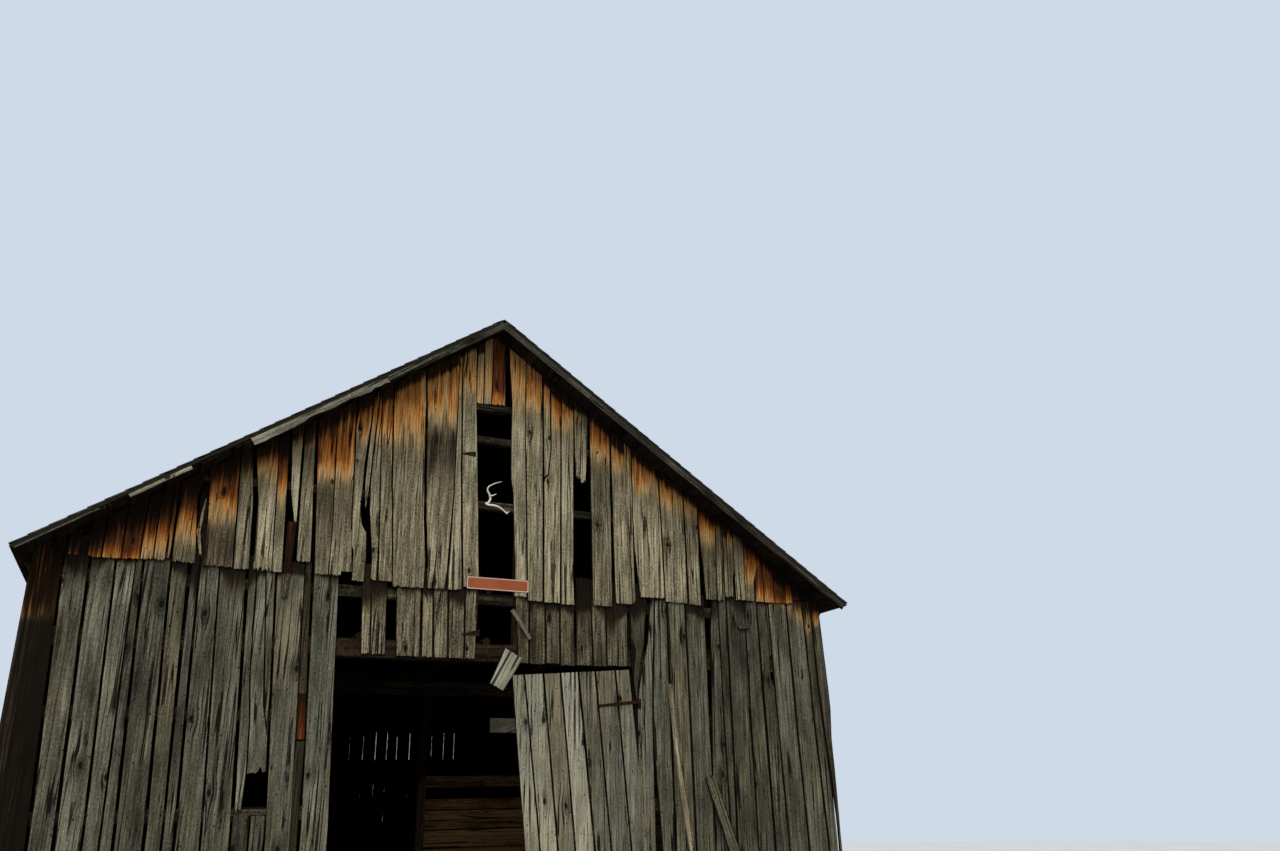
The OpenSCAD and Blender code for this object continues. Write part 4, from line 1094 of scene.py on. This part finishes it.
def tube(name, path, radii, sides, material, replaced=(), tone=0.62):
    """Closed round piece along a path, its ends closed by flat caps."""
    points = [Vector(p) for p in path]
    rings, grain = [], []
    length = 0.0
    for k, point in enumerate(points):
        ahead = points[min(k + 1, len(points) - 1)] - points[max(k - 1, 0)]
        ahead.normalize()
        side = ahead.cross(Vector((0.31, 0.95, 0.05))).normalized()
        third = ahead.cross(side)
        if k:
            length += (point - points[k - 1]).length
        for j in range(sides):
            turn = 2 * math.pi * j / sides
            bulge = 1 + 0.05 * noise.noise(Vector((turn, length * 6, radii[k] * 90)))
            rings.append(point + radii[k] * bulge * (math.cos(turn) * side + math.sin(turn) * third))
            grain.append((turn * radii[k], len(name), length))
    index = np.arange(len(rings)).reshape(-1, sides)
    after = np.roll(index, -1, axis=1)
    walls = np.stack([index[:-1], after[:-1], after[1:], index[1:]], -1).reshape(-1, 4).tolist()
    mesh = bpy.data.meshes.new(name)
    mesh.from_pydata([tuple(p) for p in rings], [], walls + [index[0].tolist(), index[-1].tolist()])
    store_vectors(mesh, "grain", grain)
    store_vectors(mesh, "look", [(tone, 0.0, 0.0)] * len(rings))
    finish_piece(mesh, material, "barn", replaced, angle=60)


def islands(node):
    """Lowest and highest corner of each separate solid of a frame node."""
    shape = bmesh.new()
    shape.from_mesh(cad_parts[node].data)
    bmesh.ops.remove_doubles(shape, verts=shape.verts, dist=1e-5)
    seen, boxes = set(), []
    for start in shape.verts:
        if start in seen:
            continue
        seen.add(start)
        group, todo = [], [start]
        while todo:
            vert = todo.pop()
            group.append(vert.co.copy())
            others = [edge.other_vert(vert) for edge in vert.link_edges]
            fresh = [other for other in others if other not in seen]
            seen.update(fresh)
            todo += fresh
        boxes.append([Vector([end(p[k] for p in group) for k in range(3)]) for end in (min, max)])
    shape.free()
    return boxes


def stones():
    """Rounded field stones in the place of the frame's flat ones."""
    shape = bmesh.new()
    for number, (low, high) in enumerate(islands("stone_footings")):
        made = bmesh.ops.create_icosphere(shape, subdivisions=4, radius=1.0)["verts"]
        middle, half = (low + high) / 2, (high - low) / 2
        for vert in made:
            p = vert.co
            bend = 1 + 0.10 * noise.fractal(p * 1.6 + Vector((number * 9, 0, 0)), 1.0, 2.0, 4)
            q = Vector([math.copysign(abs(p[k]) ** 0.62, p[k]) for k in range(3)])
            q = Vector((q.x * half.x * bend, q.y * half.y * bend, q.z * half.z * 1.08))
            vert.co = middle + Vector([max(-half[k], min(half[k], q[k])) for k in range(3)])
    mesh = bpy.data.meshes.new("field_stones")
    shape.to_mesh(mesh)
    shape.free()
    finish_piece(mesh, STONE, "barn", ["stone_footings"])


def tier_poles():
    """Slightly crooked poles on the tie beams."""
    for number, (low, high) in enumerate(islands("tier_poles")):
        middle = (low + high) / 2
        radius = (high.z - low.z) / 2
        path, radii = [], []
        for k in range(25):
            t = k / 24
            bow = 0.020 * noise.noise(Vector((number * 5.3, t * 2.5, 0)))
            rise = 0.006 * abs(noise.noise(Vector((number * 5.3, t * 2.0, 9))))
            path.append((middle.x + bow, low.y + t * (high.y - low.y), middle.z + rise))
            radii.append(radius * (0.96 - 0.05 * t))
        tube(f"tier_pole_{number}", path, radii, 12, BROWN_POLE,
             ["tier_poles"] if number == 0 else (), tone=0.42)


def leaning_pole():
    low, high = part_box("leaning_pole")
    foot = Vector((high.x - 0.033, low.y + 0.036, 0.012))
    head = Vector((low.x + 0.024, high.y - 0.022, high.z - 0.01))
    path, radii = [], []
    for k in range(29):
        t = k / 28
        p = foot.lerp(head, t)
        bow = 4 * t * (1 - t)
        p.x += 0.020 * bow * math.sin(t * 5.2)
        p.y -= 0.004 * bow
        path.append(p)
        radii.append(0.032 - 0.010 * t + 0.005 * noise.noise(Vector((t * 13, 1, 1))))
    radii[0] *= 0.8
    radii[-1] *= 0.7
    tube("debarked_pole", path, radii, 14, POLE, ["leaning_pole"], tone=0.70)


def leaning_board():
    foot = Vector((2.735, -HALF_L - 0.250, 0))
    head = Vector((2.218, -HALF_L - HAIR, 1.876))
    along = (head - foot).normalized()
    out = Vector((0, -1, 0))
    out = (out - along * out.dot(along)).normalized()
    across = along.cross(out) * -1

    def place(a, depth, l):
        x, y, z = (foot[k] + along[k] * l + across[k] * a + out[k] * depth for k in range(3))
        return x, y, np.maximum(z, 0.0)

    pile = Pile("propped_board", place)
    pile.board(line((0, -54), (2000, -55)), line((0, 54), (2000, 52)), foot=-0.02,
               head=(head - foot).length - 0.03, thick=0.024, out=0.002, tone=0.46, ragged=0.01,
               top_ragged=0.03, warp=0.002)
    pile.build(WEATHERED, replaced=["leaning_board"])


def slanted(name, corners, back, thick, tone, replaced=()):
    """Board between four corners on the front: two at its lower end, two at its upper end."""
    p = [Vector((x * MM, z * MM)) for x, z in corners]
    foot, head = (p[0] + p[1]) / 2, (p[2] + p[3]) / 2
    along = (head - foot).normalized()
    across = Vector((along.y, -along.x))
    half_foot, half_head = (p[1] - p[0]).length / 2, (p[3] - p[2]).length / 2
    length = (head - foot).length

    def place(a, out, l):
        return (foot.x + along.x * l + across.x * a, -back - out, foot.y + along.y * l + across.y * a)

    pile = Pile(name, place)
    left, right = (line((0, way * half_foot), (length, way * half_head), scale=1.0) for way in (-1, 1))
    pile.board(left, right, foot=0.0, head=length, thick=thick, tone=tone, warp=0.002, ragged=0.008,
               top_ragged=0.006, row=0.05, stain=flat(0.04))
    pile.build(LEAF_WOOD, replaced=replaced)


def hanging_boards():
    """The plank that hangs beside the slot, the strip nailed above it and the cleat on the right boards."""
    door_h = 2840
    slanted("hanging_plank",
            [(53, door_h - 191), (171, door_h - 265), (292, door_h - 18), (243, door_h + 166)],
            HALF_L, BOARD_T - 0.004, 0.78, ["hanging_boards"])
    slanted("nailed_strip",
            [(424, door_h + 222), (396, door_h + 194), (215, door_h + 450), (248, door_h + 478)],
            HALF_L + BOARD_T, 0.018, 0.62)
    slanted("wall_cleat", [(2626, 3286), (2622, 3240), (2757, 3252), (2760, 3308)],
            HALF_L + 0.003, 0.032, 0.30)


def stall():
    """Brown boards of the stall side and its post."""
    low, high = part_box("stall_partition")
    y = (low.y + high.y) / 2
    run = dict(foot=0.262, head=FRAME_X - 0.151, row=0.3, column=0.04)
    pile = Pile("stall_boards", lambda a, out, l: (l, y - out, a))
    z = FOOT_Z
    while z < 1.70:
        top = min(z + rand.uniform(0.17, 0.24), 1.720)
        pile.board(flat(z), flat(top - 0.006), tone=0.86, ragged=0.004, **run)
        z = top
    pile.board(flat(1.830), flat(1.960), tone=0.66, **run)
    pile.build(STALL_WOOD)
    post = Pile("stall_post", lambda a, out, l: (a, y - out, l))
    post.board(line((0, 162)), line((0, 258)), foot=0.004, head=2.838, thick=0.096, out=-0.048, tone=0.50,
               row=0.2, column=0.03, ragged=0.004,
               soot=lambda a, l: 0.85 * smoothstep(1.75, 2.05, l))
    post.build(OLD_BROWN, replaced=["stall_partition"])


# Nails, plate and antler


def nail_heads(name, places, body="barn"):
    """Rusty heads, each a low dome at a point with the way that it faces."""
    shape = bmesh.new()
    for point, way in places:
        out = Vector(way)
        side = out.orthogonal().normalized()
        third = out.cross(side)
        size = rand.uniform(0.0038, 0.0052)
        start = rand.uniform(0, 1)
        turns = [start + k * math.pi / 3 for k in range(6)]
        rings = [[shape.verts.new(Vector(point) + out * depth + size * radius * (
            math.cos(turn) * side + math.sin(turn) * third)) for turn in turns]
            for depth, radius in ((-0.003, 1.0), (0.0012, 1.0), (0.0026, 0.6))]
        for ring, following in zip(rings[:-1], rings[1:]):
            for k in range(6):
                shape.faces.new([ring[k], ring[(k + 1) % 6], following[(k + 1) % 6], following[k]])
        shape.faces.new(rings[0][::-1])
        shape.faces.new(rings[-1])
    mesh = bpy.data.meshes.new(name)
    shape.to_mesh(mesh)
    shape.free()
    finish_piece(mesh, RUST, body)


def jitter(amount=0.012):
    return rand.uniform(-amount, amount)


def all_nails():
    proud = 0.002
    front, side_x, back = -HALF_L - proud, HALF_W + proud, HALF_L + proud
    forward = (0, -1, 0)
    places = []
    for x in np.arange(-3.58, 3.6, 0.078):
        if DOORWAY[0] < x < DOORWAY[1]:
            continue
        for z in (1.600, 2.350, 3.400):
            if rand.random() < 0.75:
                places.append(((x + jitter(), front, z + jitter(0.025)), forward))
    for x in np.arange(-3.2, 3.3, 0.085):
        if -0.20 < x < 0.23 or 0.82 < x < 1.03:
            continue
        for z in (3.60, 4.28, 4.93):
            if z < under(x, SKIN_T) - 0.1 and rand.random() < 0.7:
                places.append(((x + jitter(), front - BOARD_T, z + jitter(0.025)), forward))
    nail_heads("nails_front", places)
    places = [((side * side_x, y + jitter(), z + jitter(0.02)), (side, 0, 0))
              for y in np.arange(-4.4, 4.45, 0.11) for z in (1.600, 2.350, 3.30) for side in (-1, 1)]
    places += [((x + jitter(), back, z + jitter(0.02)), (0, 1, 0))
               for x in np.arange(-3.5, 3.55, 0.11) for z in (1.600, 2.350, 3.40)]
    nail_heads("nails_sides_and_back", places)
    face = -LEAF_BACK - LEAF_T - proud
    places = [((0.30 + 0.083 * k + (2.75 - z) * 0.098 + jitter(), face, z + jitter(0.014)), forward)
              for z in (0.475, 1.380, 2.285) for k in range(14)]
    strap_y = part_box("door_straps")[0].y + 0.001
    places += [((x, strap_y, z), forward) for x, z in ((1.12, 2.455), (1.26, 2.475), (1.38, 2.495))]
    nail_heads("nails_leaf", places, "door_leaf")


def sign_plate():
    """Blank street plate, red-brown with a pale border, nailed over the boards."""
    x0, x1, z0, z1 = -0.200, 0.390, 3.474, 3.588
    y = -HALF_L - BOARD_T - 0.006
    raised = y - 0.0006
    tilt = -0.006
    shape = bmesh.new()

    def outline(inset, y_at, radius=0.012):
        ring = []
        for x, z, start in ((x0, z0, 180), (x1, z0, 270), (x1, z1, 0), (x0, z1, 90)):
            cx = x + math.copysign(inset + radius, (x0 + x1) / 2 - x)
            cz = z + math.copysign(inset + radius, (z0 + z1) / 2 - z)
            for k in range(6):
                turn = math.radians(start + 18 * k)
                px = cx + radius * math.cos(turn)
                ring.append(shape.verts.new((px, y_at, cz + radius * math.sin(turn) + (px - x0) * tilt)))
        return ring

    rings = [outline(0.0, y + 0.002), outline(0.0, y), outline(0.0030, y), outline(0.0035, raised),
             outline(0.0095, raised), outline(0.0100, y)]
    count = len(rings[0])
    for number, (a, b) in enumerate(zip(rings[:-1], rings[1:])):
        for k in range(count):
            face = shape.faces.new([a[k], a[(k + 1) % count], b[(k + 1) % count], b[k]])
            face.material_index = 1 if number >= 2 else 0
    shape.faces.new(rings[-1])
    shape.faces.new(rings[0][::-1])
    mesh = bpy.data.meshes.new("blank_plate")
    shape.to_mesh(mesh)
    shape.free()
    red = plate_paint("plate_red", (0.330, 0.078, 0.022), (0.400, 0.130, 0.055))
    finish_piece(mesh, red, "barn")
    mesh.materials.append(plate_paint("plate_border", (0.66, 0.58, 0.49), (0.50, 0.38, 0.29)))


def antler():
    """Antler on a girt behind the slot: its beam, its base, a tine and a spur."""
    y = -HALF_L - 0.012
    beam = [(110, 4526), (80, 4514), (50, 4500), (15, 4482), (-20, 4460), (-32, 4440), (-30, 4420),
            (-10, 4395), (2, 4375), (8, 4352), (2, 4330), (-14, 4308), (-38, 4290)]
    base = [(-46, 4296), (-20, 4280), (15, 4277), (40, 4276), (72, 4270), (100, 4260), (132, 4242),
            (160, 4226), (182, 4230), (200, 4252), (212, 4284)]
    tine = [(0, 4372), (22, 4376), (40, 4384), (54, 4392)]
    spur = [(150, 4232), (158, 4216), (172, 4206)]
    for name, points, thick in (("beam", beam, 0.010), ("base", base, 0.011), ("tine", tine, 0.007),
                                ("spur", spur, 0.008)):
        path = [(x * MM, y - 0.02 * math.sin(k * 0.5), z * MM) for k, (x, z) in enumerate(points)]
        count = len(path)
        if name == "beam":
            radii = [thick * (0.22 + 0.78 * min(1, k / (count * 0.6))) for k in range(count)]
        else:
            radii = [thick * (1 - 0.72 * (k / (count - 1)) ** 1.6) for k in range(count)]
        tube(f"antler_{name}", path, radii, 10, BONE)


# Materials of the frame's own nodes


def dress_frame():
    for material, names in (
            (TIMBER["x"], ("end_sills", "front_tie", "inner_ties", "back_tie", "loft_ties", "collar_ties")),
            (TIMBER["y"], ("side_sills", "wall_plates")),
            (TIMBER["z"], ("side_posts", "door_posts", "back_posts", "front_studs", "back_studs")),
            (TIMBER["brace"], ("cross_braces", "side_braces")),
            (TIMBER["slope_left"], ("rafters_left",)),
            (TIMBER["slope_right"], ("rafters_right",)),
            (SAWN["x"], ("front_girts", "back_girts", "gable_girts")),
            (SAWN["y"], ("side_girts",)),
            (LEDGE, ("door_ledges",)),
            (LATH, ("laths_left", "laths_right")),
            (RUST, ("door_straps", "door_pintles", "loft_hinges"))):
        for node in names:
            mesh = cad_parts[node].data
            mesh.materials.clear()
            mesh.materials.append(material)


# Camera, light and floor


def camera():
    """The photograph's view, from eye height."""
    place = (-2.660, -13.56, 1.600)
    yaw, pitch, roll = 0.4406, 0.3561, -0.0223
    level_way = Vector((math.sin(yaw), math.cos(yaw), 0))
    right = Vector((math.cos(yaw), -math.sin(yaw), 0))
    up_z = Vector((0, 0, 1))
    forward = level_way * math.cos(pitch) + up_z * math.sin(pitch)
    up = up_z * math.cos(pitch) - level_way * math.sin(pitch)
    right_rolled = right * math.cos(roll) + up * math.sin(roll)
    up_rolled = up * math.cos(roll) - right * math.sin(roll)
    data = bpy.data.cameras.new("camera")
    data.sensor_width = 36.0
    data.lens = 28.70
    data.clip_end = 500
    seen = bpy.data.objects.new("camera", data)
    turn = Matrix((right_rolled, up_rolled, -forward)).transposed().to_4x4()
    seen.matrix_world = Matrix.Translation(place) @ turn
    bpy.context.scene.collection.objects.link(seen)
    bpy.context.scene.camera = seen


def light():
    """A sky with one colour to the camera and another on the barn, and one soft sun."""
    scene = bpy.context.scene
    scene.view_settings.view_transform = "Standard"
    scene.world = bpy.data.worlds.new("pale_sky")
    scene.world.use_nodes = True
    nodes, links = scene.world.node_tree.nodes, scene.world.node_tree.links
    nodes.clear()
    out, mixed, path = (nodes.new(f"ShaderNode{kind}") for kind in ("OutputWorld", "MixShader", "LightPath"))
    links.new(path.outputs["Is Camera Ray"], mixed.inputs[0])
    for slot, colour, strength in ((1, (0.94, 0.97, 1.0, 1), 0.72), (2, (0.62, 0.70, 0.80, 1), 1.0)):
        sky = nodes.new("ShaderNodeBackground")
        sky.inputs["Color"].default_value = colour
        sky.inputs["Strength"].default_value = strength
        links.new(sky.outputs[0], mixed.inputs[slot])
    links.new(mixed.outputs[0], out.inputs[0])
    sun = bpy.data.lights.new("soft_sun", "SUN")
    sun.energy = 1.3
    sun.angle = math.radians(32)
    sun.color = (1.0, 0.97, 0.92)
    holder = bpy.data.objects.new("soft_sun", sun)
    holder.rotation_euler = (math.radians(52), 0, math.radians(-24))
    scene.collection.objects.link(holder)


def floor():
    bpy.ops.mesh.primitive_circle_add(vertices=96, radius=34, fill_type="NGON", location=(0, 0, 0))
    ground = bpy.context.active_object
    ground.name = "floor"
    ground.data.materials.append(pale_ground())


camera()
light()
floor()
dress_frame()
lower_front_left()
lower_front_right()
over_door()
gable_front("left", GABLE_LEFT)
gable_front("middle", GABLE_MIDDLE)
gable_front("right", GABLE_RIGHT)
gable_scraps()
leaf()
plain_walls()
shingles(-1)
shingles(1)
rake_boards()
stones()
tier_poles()
leaning_pole()
leaning_board()
hanging_boards()
stall()
all_nails()
sign_plate()
antler()
